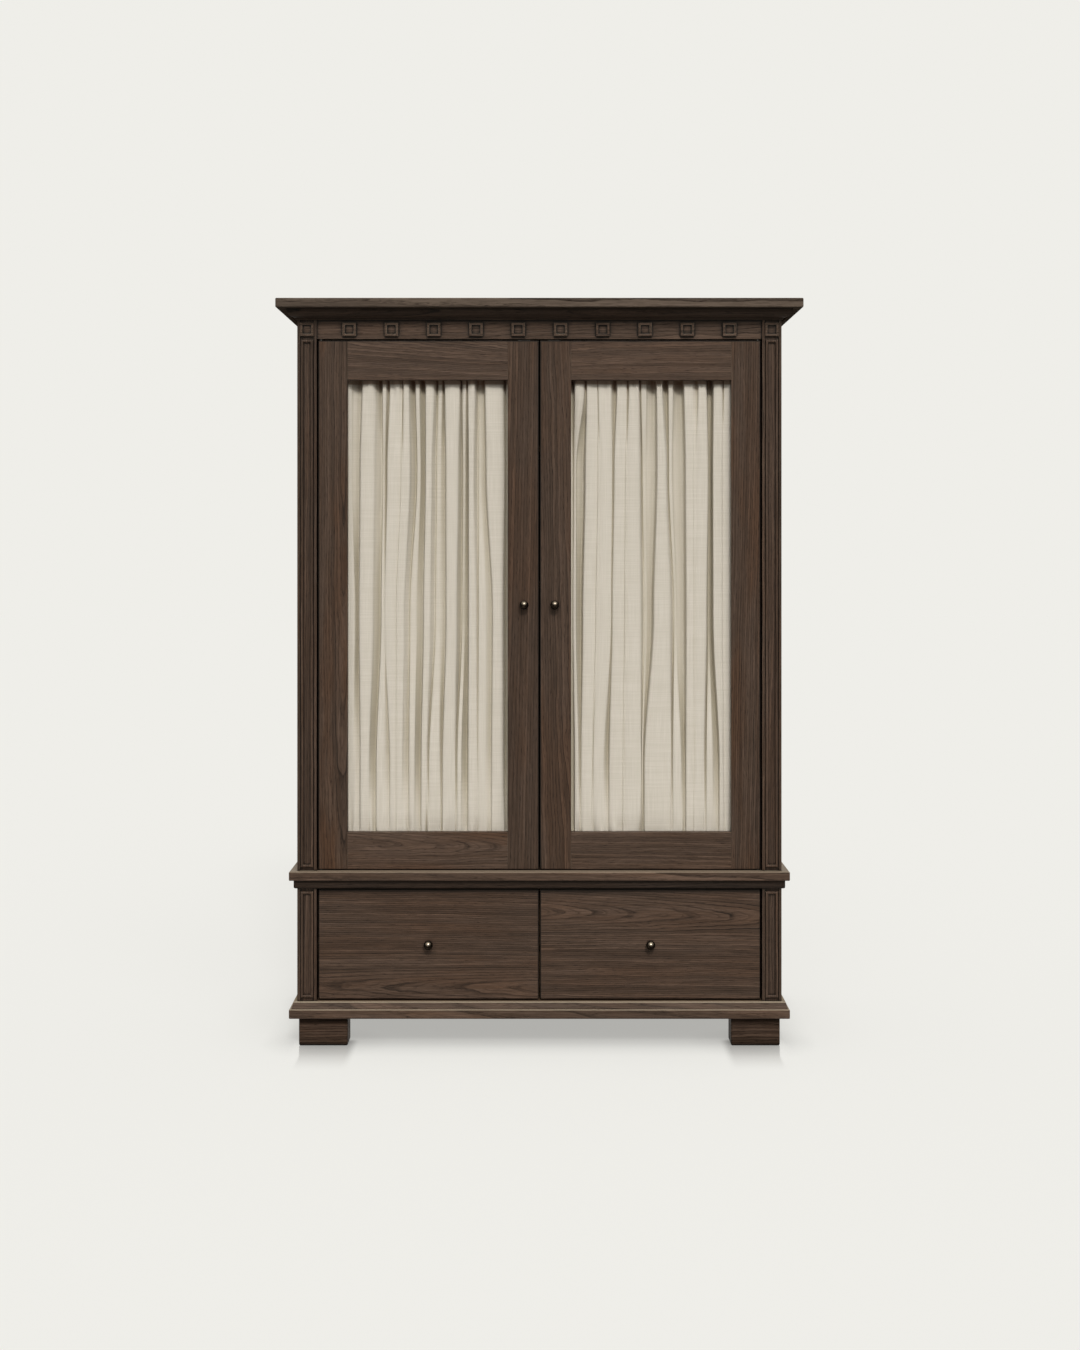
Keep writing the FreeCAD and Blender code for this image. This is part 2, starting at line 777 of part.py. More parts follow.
def pivot_plate_seats(side):
    """The shallow seats for the pin plates in the ends of a hinge stile."""
    low = pivot_plate(
        f"{side}_low_pin_seat", side, "door_bottom - joint_clearance", "joint_clearance")
    high = pivot_plate(
        f"{side}_high_pin_seat", side, "door_top - pivot_plate_thickness", "joint_clearance")
    return [low, high]


def pivot_sockets():
    """Bored plates in the waist board and the frieze rail, which take the door pins."""
    bore = "pivot_pin_radius + pivot_fit"
    depth = "pivot_plate_thickness + 2 * cut_overrun"
    sockets = []
    for side in SIDES:
        low = pivot_plate(f"{side}_low_socket_plate", side, "waist_top - pivot_plate_thickness")
        low_bore = pivot_bore(
            f"{side}_low_socket_bore", side, bore, depth,
            "waist_top - pivot_plate_thickness - cut_overrun")
        sockets.append(cut(f"{side}_low_socket", low, [low_bore]))
        high = pivot_plate(f"{side}_high_socket_plate", side, "door_head")
        high_bore = pivot_bore(
            f"{side}_high_socket_bore", side, bore, depth, "door_head - cut_overrun")
        sockets.append(cut(f"{side}_high_socket", high, [high_bore]))
    keep(group("pivot_sockets", sockets))


def waist_board_cuts():
    """Seats for the lower socket plates, and bores for the pin ends under them."""
    cuts = []
    bore_depth = "pivot_engagement + seat_clearance"
    for side in SIDES:
        cuts.append(pivot_plate(
            f"{side}_waist_seat", side, "waist_top - pivot_plate_thickness", "joint_clearance"))
        cuts.append(pivot_bore(
            f"{side}_waist_bore", side, "pivot_pin_radius + pivot_fit",
            f"{bore_depth} + cut_overrun", f"waist_top - ({bore_depth})"))
    return cuts


def frieze_rail_cuts():
    """Seats for the upper socket plates, and bores for the pin ends over them."""
    cuts = []
    for side in SIDES:
        cuts.append(pivot_plate(
            f"{side}_frieze_seat", side, "door_head - joint_clearance", "joint_clearance"))
        cuts.append(pivot_bore(
            f"{side}_frieze_bore", side, "pivot_pin_radius + pivot_fit",
            "pivot_engagement + seat_clearance + cut_overrun", "door_head - cut_overrun"))
    return cuts


# Catches behind the frieze rail, and the strikes that they hold

def door_catches():
    rail_back = "case_front + pilaster_depth"
    magnet_front = "door_back + strike_thickness + seat_clearance"
    catches = []
    for side in SIDES:
        near = "front_inner + catch_inset"
        edge = left_edge(side, near, f"{near} + catch_width")
        root = box(
            f"{side}_catch_root",
            ("catch_width", f"{magnet_front} + catch_depth - ({rail_back})", "catch_rise"),
            (edge, rail_back, "door_head"))
        magnet = box(
            f"{side}_catch_magnet", ("catch_width", "catch_depth", "catch_drop + catch_rise"),
            (edge, magnet_front, "door_head - catch_drop"))
        catches.append(joined(f"{side}_catch", [root, magnet]))
    keep(group("door_catches", catches))


def strike_plate(side):
    """A thin steel plate on the back of a door, in front of its catch."""
    near = "front_inner + catch_inset"
    return box(
        f"{side}_strike", ("catch_width", "strike_thickness", "strike_height"),
        (left_edge(side, near, f"{near} + catch_width"), "door_back", "door_head - catch_drop"))


# Knobs

def knob(name, place):
    """A ball on a neck and a round base, with a stud that goes into the wood."""
    face = "knob_stud_length"
    base = f"{face} + knob_base_thickness"
    ball_middle = f"{face} + knob_projection - knob_radius"
    ball_foot = f"{ball_middle} - sqrt(knob_radius ^ 2 - knob_neck_radius ^ 2)"
    outline = [
        ("0", "0"),
        ("knob_stud_radius", "0"),
        ("knob_stud_radius", face),
        ("knob_base_radius", face),
        ("knob_base_radius", base),
        ("knob_neck_radius", base),
        ("knob_neck_radius", ball_foot, "knob_radius"),
        ("0", f"{face} + knob_projection"),
    ]
    body = document.addObject("PartDesign::Body", name)
    sketch = sketch_in(body, "XZ_Plane", f"{name}_outline")
    draw_outline(sketch, outline)
    turned = body.newObject("PartDesign::Revolution", f"{name}_turning")
    turned.Profile = sketch
    turned.ReferenceAxis = (sketch, ["V_Axis"])
    side, depth, height = place
    keep(put(body, (side, f"{depth} + knob_stud_length", height), TOWARDS_FRONT))


def knob_hole(name, place):
    """The hole for a knob's stud, from the face of the wood."""
    side, depth, height = place
    end = f"{depth} + knob_stud_length + seat_clearance"
    return rod(
        name, "knob_stud_radius + knob_stud_fit",
        "knob_stud_length + seat_clearance + cut_overrun", (side, end, height), TOWARDS_FRONT)


# Doors

def door_tenon(name, side, bottom, height, clearance="0"):
    """The bar of a rail that reaches into both stiles, or with a clearance its mortises."""
    near = f"(opening_inner - tenon_length - {clearance})"
    far = f"(opening_outer + tenon_length + {clearance})"
    size = (
        f"{far} - {near}",
        f"tenon_thickness + 2 * {clearance}",
        f"{height} - 2 * tenon_shoulder + 2 * {clearance}",
    )
    place = (
        left_edge(side, near, far),
        f"tenon_front - {clearance}",
        f"{bottom} + tenon_shoulder - {clearance}",
    )
    return box(name, size, place)


def door_rail(name, side, bottom, height):
    """A rail between the stiles, with its tenons."""
    board = box(
        f"{name}_board", ("opening_outer - opening_inner", "door_thickness", height),
        (left_edge(side, "opening_inner", "opening_outer"), "door_face", bottom))
    keep(joined(name, [board, door_tenon(f"{name}_tenon", side, bottom, height)]))


def door_stile(name, side, near, far, cuts):
    """A full-height stile, mortised for both rails."""
    board = box(
        f"{name}_board", (f"{far} - {near}", "door_thickness", "door_height"),
        (left_edge(side, near, far), "door_face", "door_bottom"))
    rails = {"low": ("door_bottom", "bottom_rail_width"), "high": ("opening_top", "top_rail_width")}
    mortises = []
    for level, (bottom, height) in rails.items():
        mortises.append(
            door_tenon(f"{name}_{level}_mortise", side, bottom, height, "joint_clearance"))
    keep(cut(name, board, mortises + cuts))


def curtain_hardware(side):
    """Two rods across the back of a door, each held by a bracket on either stile."""
    arm_places = {
        "inner": "opening_inner - bracket_inset",
        "outer": "opening_outer + bracket_inset",
    }
    rod_near = "opening_inner - bracket_inset - rod_end"
    rod_far = "opening_outer + bracket_inset + rod_end"
    pieces = []
    for level, height in {"low": "rod_low", "high": "rod_high"}.items():
        pieces.append(rod(
            f"{side}_{level}_rod", "rod_radius", f"{rod_far} - ({rod_near})",
            (left_edge(side, rod_near, rod_far), "rod_depth", height), ALONG_WIDTH))
        for end, middle in arm_places.items():
            pieces.append(rod_bracket(f"{side}_{level}_{end}_bracket", side, middle, height))
    keep(group(f"{side}_curtain_rods", pieces))


def rod_bracket(name, side, middle, height):
    """A plate on the back of the stile, with a bored arm that carries the rod."""
    arm_height = "2 * (rod_radius + bracket_wall)"
    plate = box(
        f"{name}_plate", ("bracket_plate_width", "bracket_wall", "bracket_plate_height"),
        (f"{beside(side, middle)} - bracket_plate_width / 2", "door_back",
         f"{height} - bracket_plate_height / 2"))
    arm = box(
        f"{name}_arm", ("bracket_arm_width", "rod_standoff + rod_radius + bracket_wall", arm_height),
        (f"{beside(side, middle)} - bracket_arm_width / 2", "door_back",
         f"{height} - {arm_height} / 2"))
    bore = rod(
        f"{name}_bore", "rod_radius + rod_fit", "bracket_arm_width + 2 * cut_overrun",
        (f"{beside(side, middle)} - bracket_arm_width / 2 - cut_overrun", "rod_depth", height),
        ALONG_WIDTH)
    return cut(name, joined(f"{name}_blank", [plate, arm]), [bore])


def door(side):
    knob_place = (beside(side, "(front_inner + door_knob_inset)"), "door_face", "door_knob_height")
    door_stile(
        f"{side}_hinge_stile", side, "opening_outer", "front_outer", pivot_plate_seats(side))
    door_stile(
        f"{side}_meeting_stile", side, "front_inner", "opening_inner",
        [knob_hole(f"{side}_door_knob_hole", knob_place)])
    door_rail(f"{side}_top_rail", side, "opening_top", "top_rail_width")
    door_rail(f"{side}_bottom_rail", side, "door_bottom", "bottom_rail_width")
    knob(f"{side}_door_knob", knob_place)
    keep(group(f"{side}_door_ironwork", pivot_pins(side) + [strike_plate(side)]))
    curtain_hardware(side)
    curtain(side)


# Curtains: a sheet in upright folds, gathered on a rod at each end

def fold_edges(width, drift):
    """Where the folds meet along the width, each shifted a little by the drift."""
    total = sum(FOLD_SHARES)
    edges = [0.0]
    for share in FOLD_SHARES:
        edges.append(edges[-1] + width * share / total)
    turns = 2 * math.pi * FOLD_DRIFT_WAVES / width
    return [edge + drift * math.sin(turns * edge) for edge in edges]


def fold_line(edges, offset, height):
    """Arcs that swing to and fro through the fold edges, moved sideways by an offset."""
    arcs = []
    for index, (start, end) in enumerate(zip(edges, edges[1:])):
        swing = 1 if index % 2 else -1
        radius = (end - start) / (2 * math.sin(FOLD_ANGLE))
        middle = FreeCAD.Vector((start + end) / 2, -swing * radius * math.cos(FOLD_ANGLE), height)
        reach = radius + swing * offset
        points = []
        for angle in (-FOLD_ANGLE, 0, FOLD_ANGLE):
            points.append(middle + FreeCAD.Vector(math.sin(angle), swing * math.cos(angle), 0) * reach)
        arcs.append(Part.Arc(*points))
    return arcs


def fold_section(width, drift, height):
    """The closed outline of the folded cloth at one height."""
    edges = fold_edges(width, drift)
    half = measure("cloth_thickness") / 2
    front = fold_line(edges, -half, height)
    back = fold_line(edges, half, height)
    ends = [
        Part.LineSegment(front[0].StartPoint, back[0].StartPoint),
        Part.LineSegment(front[-1].EndPoint, back[-1].EndPoint),
    ]
    edges_in_order = Part.sortEdges([curve.toShape() for curve in front + back + ends])
    return Part.Wire(edges_in_order[0])


def rod_heading(width, height):
    """The gathered hem round a rod, with its bore along the width."""
    tall = measure("heading_height")
    deep = measure("heading_depth")
    corner = FreeCAD.Vector(0, -deep / 2, height - tall / 2)
    hem = Part.makeBox(width, deep, tall, corner)
    bore = Part.makeCylinder(
        measure("rod_radius + heading_fit"), width, FreeCAD.Vector(0, 0, height),
        FreeCAD.Vector(1, 0, 0))
    return hem.cut(bore)


def curtain(side):
    near = "(opening_inner - curtain_overlap)"
    far = "(opening_outer + curtain_overlap)"
    width = measure(f"{far} - {near}")
    length = measure("rod_high - rod_low")
    hem = measure("heading_height / 2")
    sections = [
        fold_section(width, 0, hem),
        fold_section(width, measure("fold_drift"), length / 2),
        fold_section(width, 0, length - hem),
    ]
    sheet_of_cloth = Part.makeLoft(sections, True, True)
    piece = document.addObject("Part::Feature", f"{side}_curtain")
    piece.Shape = sheet_of_cloth.multiFuse([rod_heading(width, 0), rod_heading(width, length)])
    keep(put(piece, (left_edge(side, near, far), "rod_depth", "rod_low")))


# Drawers

def drawer_slide(name, side, near, far):
    """A bar along a drawer's side that runs in the groove of its runner."""
    size = (f"{far} - ({near})", "slide_length", "slide_height")
    return box(name, size, (left_edge(side, near, far), "runner_front", "slide_bottom"))


def drawer_sides():
    """Where a drawer's two sides lie, from near the middle of the cabinet to far."""
    return {
        "outer": ("drawer_side_outer", "drawer_box_outer"),
        "inner": ("drawer_box_inner", "drawer_side_inner"),
    }


def tail_corners(level, root, clearance="0"):
    """One dovetail from its root on a side's front end to its wider tip, or its room in the front."""
    middle = f"(drawer_box_height * {2 * level + 1} / {2 * DOVETAIL_COUNT})"
    tip = f"(dovetail_width / 2 + {clearance})"
    neck = f"(dovetail_width / 2 - dovetail_flare + {clearance})"
    return [
        (root, f"{middle} + {neck}"),
        ("0", f"{middle} + {tip}"),
        ("0", f"{middle} - {tip}"),
        (root, f"{middle} - {neck}"),
    ]


def dovetailed_board(name, place):
    """A drawer side with a row of tails at its front end."""
    rear = "dovetail_length + drawer_box_length"
    outline = [
        ("dovetail_length", "0"),
        (rear, "0"),
        (rear, "drawer_box_height"),
        ("dovetail_length", "drawer_box_height"),
    ]
    for level in reversed(range(DOVETAIL_COUNT)):
        outline += tail_corners(level, "dovetail_length")
    body, _ = profile_bar(name, "YZ_Plane", outline, "drawer_side_thickness")
    return put(body, (place, "dovetail_tip", "drawer_box_bottom"))


def dovetail_sockets(name, side, near, far):
    """The room in a drawer front for the tails of one side."""
    body = document.addObject("PartDesign::Body", name)
    body.AllowCompound = True
    sketch = sketch_in(body, "YZ_Plane", f"{name}_outlines")
    for level in range(DOVETAIL_COUNT):
        draw_outline(sketch, tail_corners(level, "dovetail_length + cut_overrun", "joint_clearance"))
    pad(body, sketch, f"{far} - ({near})")
    return put(body, (left_edge(side, near, far), "dovetail_tip - joint_clearance", "drawer_box_bottom"))


def drawer_box(side):
    """Two dovetailed sides, grooved for the bottom, and a back housed between them."""
    groove_near = "(drawer_side_inner - drawer_groove_depth)"
    groove_far = "(drawer_side_outer + drawer_groove_depth)"
    groove_edge = left_edge(side, groove_near, groove_far)
    pieces = []
    for end, (near, far) in drawer_sides().items():
        board = dovetailed_board(f"{side}_drawer_{end}_board", left_edge(side, near, far))
        groove = box(
            f"{side}_drawer_{end}_groove",
            (f"{groove_far} - {groove_near}", "dovetail_length + drawer_box_length + 2 * cut_overrun",
             "drawer_bottom_thickness + joint_clearance"),
            (groove_edge, "dovetail_tip - cut_overrun", "drawer_panel_bottom"))
        housing = box(
            f"{side}_drawer_{end}_housing",
            (f"{groove_far} - {groove_near}", "drawer_side_thickness + 2 * joint_clearance",
             "drawer_back_height + cut_overrun"),
            (groove_edge, "drawer_back_place - joint_clearance", "drawer_back_bottom"))
        pieces.append(cut(f"{side}_drawer_{end}_side", board, [groove, housing]))
    back_near = f"({groove_near} + joint_clearance)"
    back_far = f"({groove_far} - joint_clearance)"
    pieces.append(box(
        f"{side}_drawer_back", (f"{back_far} - {back_near}", "drawer_side_thickness", "drawer_back_height"),
        (left_edge(side, back_near, back_far), "drawer_back_place", "drawer_back_bottom")))
    keep(group(f"{side}_drawer_box", pieces))


def drawer_bottom(side):
    """A thin panel in the grooves of the sides and the front."""
    near = "(drawer_side_inner - drawer_groove_depth + joint_clearance)"
    far = "(drawer_side_outer + drawer_groove_depth - joint_clearance)"
    size = (
        f"{far} - {near}",
        "drawer_box_length + drawer_groove_depth - joint_clearance",
        "drawer_bottom_thickness",
    )
    place = (
        left_edge(side, near, far),
        "drawer_front_back - drawer_groove_depth + joint_clearance",
        "drawer_panel_bottom",
    )
    keep(box(f"{side}_drawer_bottom", size, place))


def drawer_front_cuts(side):
    """The rebated ends of a front, whose lip stands past the box, and the sockets for the tails."""
    name = f"{side}_drawer_front"
    rebates = {
        "outer": ("drawer_box_outer", "(front_outer + cut_overrun)"),
        "inner": ("(front_inner - cut_overrun)", "drawer_box_inner"),
    }
    cuts = []
    for end, (near, far) in rebates.items():
        cuts.append(box(
            f"{name}_{end}_rebate",
            (f"{far} - {near}", "drawer_front_thickness - drawer_lip_thickness + cut_overrun",
             "drawer_front_height + 2 * cut_overrun"),
            (left_edge(side, near, far), "drawer_face + drawer_lip_thickness",
             "drawer_bottom_edge - cut_overrun")))
    sockets = {
        "outer": ("(drawer_side_outer - joint_clearance)", "(drawer_box_outer + cut_overrun)"),
        "inner": ("(drawer_box_inner - cut_overrun)", "(drawer_side_inner + joint_clearance)"),
    }
    for end, (near, far) in sockets.items():
        cuts.append(dovetail_sockets(f"{name}_{end}_sockets", side, near, far))
    return cuts


def drawer_front(side, knob_place):
    """A lipped front with rounded edges, grooved at the back for the bottom and bored for the knob."""
    name = f"{side}_drawer_front"
    board = rounded_board(
        f"{name}_board",
        ("front_outer - front_inner", "drawer_front_thickness", "drawer_front_height"),
        (left_edge(side, "front_inner", "front_outer"), "drawer_face", "drawer_bottom_edge"),
        "drawer_front_rounding")
    near = "(drawer_side_inner - drawer_groove_depth)"
    far = "(drawer_side_outer + drawer_groove_depth)"
    groove = box(
        f"{name}_groove",
        (f"{far} - {near}", "drawer_groove_depth + cut_overrun",
         "drawer_bottom_thickness + joint_clearance"),
        (left_edge(side, near, far), "drawer_front_back - drawer_groove_depth",
         "drawer_panel_bottom"))
    cuts = [groove, knob_hole(f"{name}_knob_hole", knob_place)] + drawer_front_cuts(side)
    keep(cut(name, board, cuts))


def drawer(side):
    knob_place = (
        beside(side, "((front_inner + front_outer) / 2)"), "drawer_face",
        "drawer_bottom_edge + drawer_front_height / 2")
    drawer_front(side, knob_place)
    drawer_box(side)
    drawer_bottom(side)
    reach = "(slide_gap + slide_engagement)"
    slides = [
        drawer_slide(
            f"{side}_drawer_outer_slide", side, "drawer_box_outer", f"drawer_box_outer + {reach}"),
        drawer_slide(
            f"{side}_drawer_inner_slide", side, f"drawer_box_inner - {reach}", "drawer_box_inner"),
    ]
    keep(group(f"{side}_drawer_slides", slides))
    knob(f"{side}_drawer_knob", knob_place)


def drawer_runner(name, side, near, far, groove_near, groove_far):
    """A wooden runner with a groove that carries a drawer's slide."""
    board = box(
        f"{name}_board", (f"{far} - ({near})", "runner_length", "runner_height"),
        (left_edge(side, near, far), "runner_front", "runner_bottom"))
    groove = box(
        f"{name}_groove",
        (f"{groove_far} - ({groove_near})", "runner_length + 2 * cut_overrun",
         "slide_height + 2 * slide_clearance"),
        (left_edge(side, groove_near, groove_far), "runner_front - cut_overrun",
         "slide_bottom - slide_clearance"))
    return cut(name, board, [groove])


def drawer_runners():
    """Runners on the sides and on the partition, two for each drawer."""
    outer_face = "pilaster_inner - runner_reach"
    inner_face = "partition_thickness / 2 + runner_reach"
    depth = "slide_engagement + slide_clearance"
    runners = []
    for side in SIDES:
        runners.append(drawer_runner(
            f"{side}_outer_runner", side, outer_face, "side_inner",
            f"{outer_face} - cut_overrun", f"{outer_face} + {depth}"))
        runners.append(drawer_runner(
            f"{side}_inner_runner", side, "partition_thickness / 2", inner_face,
            f"{inner_face} - ({depth})", f"{inner_face} + cut_overrun"))
    keep(group("drawer_runners", runners))


def build_cabinet():
    feet("front_feet", "case_front + foot_front_inset")
    feet("rear_feet", "case_back - foot_depth")
    overhung_board("base_board", "base_overhang", "base_board_thickness", "foot_height")
    base_mouldings()
    overhung_board(
        "waist_board", "waist_overhang", "waist_board_thickness", "waist_bottom",
        waist_board_cuts())
    waist_mouldings()
    pilasters()
    for side in SIDES:
        holes = shelf_pin_rows("pin_hole", side, "shelf_pin_radius + pivot_fit", "seat_clearance")
        side_panel(f"upper_side_{side}", side, "upper_height", "waist_top", holes)
        side_panel(f"lower_side_{side}", side, "lower_height", "base_top", [])
    back_panel("upper_back_panel", "upper_height", "waist_top")
    back_panel("lower_back_panel", "lower_height", "base_top")
    cross_rail("drawer_sill", "base_moulding_height", "base_top")
    cross_rail("waist_rail", "waist_moulding_height", "drawer_ceiling")
    drawer_partition()
    drawer_runners()
    frieze_rail(frieze_rail_cuts())
    frieze_blocks()
    cornice_mouldings()
    overhung_board(
        "cornice_board", "cornice_overhang", "cornice_board_thickness", "cornice_bottom")
    shelves()
    pivot_sockets()
    door_catches()
    for side in SIDES:
        door(side)
        drawer(side)
    document.recompute()


def check_cabinet():
    """Stop if any object failed or any sub-part has no sound shape."""
    for item in document.Objects:
        if {"Invalid", "Error"} & set(item.State):
            raise RuntimeError(f"{item.Label} failed: {item.State}")
    for node in nodes:
        if node.Shape.isNull() or not node.Shape.isValid() or not node.Shape.Solids:
            raise RuntimeError(f"{node.Label} has no sound shape")


def write_parts():
    os.makedirs("parts", exist_ok=True)
    for node in nodes:
        node.Shape.exportStep(f"parts/{node.Label}.step")


build_cabinet()
check_cabinet()
write_parts()
print(f"{len(nodes)} sub-parts, {sum(len(node.Shape.Solids) for node in nodes)} solids")
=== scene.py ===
import math
import random

import bpy
import numpy as np
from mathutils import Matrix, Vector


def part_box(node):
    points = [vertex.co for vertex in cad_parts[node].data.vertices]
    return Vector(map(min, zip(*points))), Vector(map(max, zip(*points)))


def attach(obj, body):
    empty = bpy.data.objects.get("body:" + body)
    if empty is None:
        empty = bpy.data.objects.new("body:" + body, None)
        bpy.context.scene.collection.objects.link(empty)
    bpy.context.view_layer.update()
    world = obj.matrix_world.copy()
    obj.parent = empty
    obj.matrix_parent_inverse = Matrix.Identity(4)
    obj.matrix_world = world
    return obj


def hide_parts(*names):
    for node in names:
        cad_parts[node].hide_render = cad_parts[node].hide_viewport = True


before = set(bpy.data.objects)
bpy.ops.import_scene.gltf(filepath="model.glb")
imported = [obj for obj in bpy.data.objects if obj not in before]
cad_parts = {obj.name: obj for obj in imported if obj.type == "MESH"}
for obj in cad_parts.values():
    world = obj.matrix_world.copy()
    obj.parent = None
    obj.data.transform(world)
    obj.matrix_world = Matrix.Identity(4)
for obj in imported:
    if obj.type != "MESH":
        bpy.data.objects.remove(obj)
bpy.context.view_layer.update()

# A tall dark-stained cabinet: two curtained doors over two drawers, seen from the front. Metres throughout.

# The photograph's frame in pixels, and the camera that took it
IMAGE_WIDTH = 1080
IMAGE_HEIGHT = 1350
HORIZON_ROW = 545.0
CENTRE_COLUMN = 539.4
FOCAL_PIXELS = 1785.7
SENSOR_SIZE = 0.036
MILLI = 0.001
CAMERA_HEIGHT = 1.403
CAMERA_REACH = 5.0

# Light and backdrop, as linear colours
BACKDROP_COLOUR = (0.863, 0.855, 0.814)
AMBIENT_COLOUR = (1.0, 0.99, 0.97)
OVERHEAD_STRENGTH = 0.6
HORIZON_STRENGTH = 0.13
KEY_STRENGTH = 1.25
KEY_COLOUR = (1.0, 0.99, 0.97)
KEY_ELEVATION = math.radians(46)
KEY_SIDE = math.radians(8)
KEY_SPREAD = math.radians(50)
CRISP_STRENGTH = 1.5
CRISP_ELEVATION = math.radians(40)
CRISP_SPREAD = math.radians(12)

# Floor
FLOOR_SIZE = 60.0
FLOOR_SHADOW_SHARE = 0.25
FLOOR_BOUNCE_SHARE = 0.3
FLOOR_GLOSS_SHARE = 0.4
FLOOR_GLOSS_REACH = 0.25
FLOOR_GLOSS_EDGE = 0.03
FLOOR_ROUGHNESS = 0.08
FOOT_WIDTH = 0.137
CONTACT_REACHES = (0.12, 0.30)
CONTACT_SHARES = (0.45, 0.12)

OPENNESS_SAMPLES = 8
WHITE = (1.0, 1.0, 1.0)


def linear(red, green, blue):
    """A colour as a screen shows it, from 0 to 255, turned into linear light."""
    shares = [value / 255 for value in (red, green, blue)]
    return tuple(s / 12.92 if s <= 0.04045 else ((s + 0.055) / 1.055) ** 2.4 for s in shares)


class Graph:
    """Adds shader nodes to one node tree. A value may be a number, a colour or another node's output."""

    def __init__(self, tree):
        self.tree = tree
        tree.nodes.clear()

    def add(self, kind, **settings):
        node = self.tree.nodes.new(kind)
        for name, value in settings.items():
            setattr(node, name, value)
        return node

    def feed(self, socket, value):
        if isinstance(value, bpy.types.NodeSocket):
            self.tree.links.new(value, socket)
        elif isinstance(value, tuple) and len(value) == 3 and socket.type == "RGBA":
            socket.default_value = (*value, 1.0)
        else:
            socket.default_value = value

    def feed_all(self, node, values):
        """Feeds a node's first sockets in their order."""
        for socket, value in zip(node.inputs, values):
            self.feed(socket, value)

    def math(self, operation, *values):
        node = self.add("ShaderNodeMath", operation=operation)
        self.feed_all(node, values)
        return node.outputs[0]

    def vector(self, *parts):
        node = self.add("ShaderNodeCombineXYZ")
        self.feed_all(node, parts)
        return node.outputs[0]

    def split(self, vector):
        node = self.add("ShaderNodeSeparateXYZ")
        self.feed(node.inputs[0], vector)
        return node.outputs

    def scaled(self, vector, scales, shift=(0.0, 0.0, 0.0)):
        node = self.add("ShaderNodeVectorMath", operation="MULTIPLY_ADD")
        self.feed_all(node, (vector, scales, shift))
        return node.outputs[0]

    def dot(self, first, second):
        node = self.add("ShaderNodeVectorMath", operation="DOT_PRODUCT")
        self.feed_all(node, (first, second))
        return node.outputs["Value"]

    def place(self, kind="Object"):
        """The place in the object's own space, or another of its coordinates."""
        return self.add("ShaderNodeTexCoord").outputs[kind]

    def noise(self, vector, scales, detail=2.0, roughness=0.5):
        node = self.add("ShaderNodeTexNoise")
        self.feed(node.inputs["Vector"], self.scaled(vector, scales))
        node.inputs["Scale"].default_value = 1.0
        node.inputs["Detail"].default_value = detail
        node.inputs["Roughness"].default_value = roughness
        return node.outputs[0]

    def span(self, value, low, high, start=0.0, end=1.0):
        """Carries a value from the span low to high over to the span start to end, eased at both ends."""
        node = self.add("ShaderNodeMapRange", interpolation_type="SMOOTHSTEP")
        self.feed_all(node, (value, low, high, start, end))
        return node.outputs[0]

    def blend(self, share, first, second, mode="MIX"):
        """Two colours, the second one by a share. Sockets 6 and 7 of a mix node take its colours."""
        node = self.add("ShaderNodeMix", data_type="RGBA", blend_type=mode)
        self.feed(node.inputs[0], share)
        self.feed(node.inputs[6], first)
        self.feed(node.inputs[7], second)
        return node.outputs[2]

    def tinted(self, colour, share):
        """A colour made darker or lighter by a share."""
        return self.blend(1.0, colour, self.vector(share, share, share), "MULTIPLY")

    def bump(self, height, distance, strength, normal=None):
        node = self.add("ShaderNodeBump")
        self.feed(node.inputs["Height"], height)
        node.inputs["Distance"].default_value = distance
        node.inputs["Strength"].default_value = strength
        if normal:
            self.feed(node.inputs["Normal"], normal)
        return node.outputs[0]

    def openness(self, reach, alone=False):
        """How open a place is within a reach: 1 on a bare flat, less in corners and under edges."""
        node = self.add("ShaderNodeAmbientOcclusion", samples=OPENNESS_SAMPLES, only_local=alone)
        node.inputs["Distance"].default_value = reach
        return node.outputs["AO"]

    def dice(self, number):
        """A random share for a whole number, the same each time."""
        node = self.add("ShaderNodeTexWhiteNoise", noise_dimensions="1D")
        self.feed(node.inputs["W"], number)
        return node.outputs["Value"]

    def seen_directly(self):
        """1 where a place is seen by itself or in a mirror, 0 where it only throws light on others."""
        path = self.add("ShaderNodeLightPath")
        seen = self.math("MAXIMUM", path.outputs["Is Camera Ray"], path.outputs["Is Glossy Ray"])
        return self.math("MAXIMUM", seen, path.outputs["Is Transmission Ray"])

    def mixed(self, share, first, second):
        """Two shaders, the second one by a share."""
        node = self.add("ShaderNodeMixShader")
        self.feed_all(node, (share, first, second))
        return node.outputs[0]

    def show(self, shader, kind="ShaderNodeOutputMaterial"):
        self.feed(self.add(kind).inputs["Surface"], shader)

    def surface(self, **sockets):
        shader = self.add("ShaderNodeBsdfPrincipled")
        for name, value in sockets.items():
            self.feed(shader.inputs[name.replace("_", " ")], value)
        self.show(shader.outputs[0])


def new_material(name):
    material = bpy.data.materials.new(name)
    material.use_nodes = True
    return material, Graph(material.node_tree)


def dress(node_names, material):
    """Gives every material slot of some nodes the same finish."""
    for node_name in node_names:
        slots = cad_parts[node_name].data.materials
        for index in range(len(slots)):
            slots[index] = material


# Wood: each board is cut from a log of its own, with growth rings, open pores, fine streaks, and edges that
# are worn and also carry a painted highlight
# The pale worn colour goes on worn edges and also paints highlights on edges and ledges
STAIN = {
    "dark": linear(22, 14, 9), "mid": linear(70, 54, 43), "light": linear(88, 71, 60),
    "warm": linear(82, 57, 40), "pore": linear(20, 12, 8), "worn_and_highlit": linear(156, 142, 122),
}
INNER = {
    "dark": linear(62, 46, 34), "mid": linear(100, 80, 62), "light": linear(124, 103, 82),
    "warm": linear(112, 82, 58), "pore": linear(48, 34, 24), "worn_and_highlit": linear(140, 120, 98),
}
FADED_COLOUR = linear(101, 91, 81)
WAX_TINT = (0.40, 0.36, 0.32)
STAIN_ROUGHNESS = 0.46
INNER_ROUGHNESS = 0.62

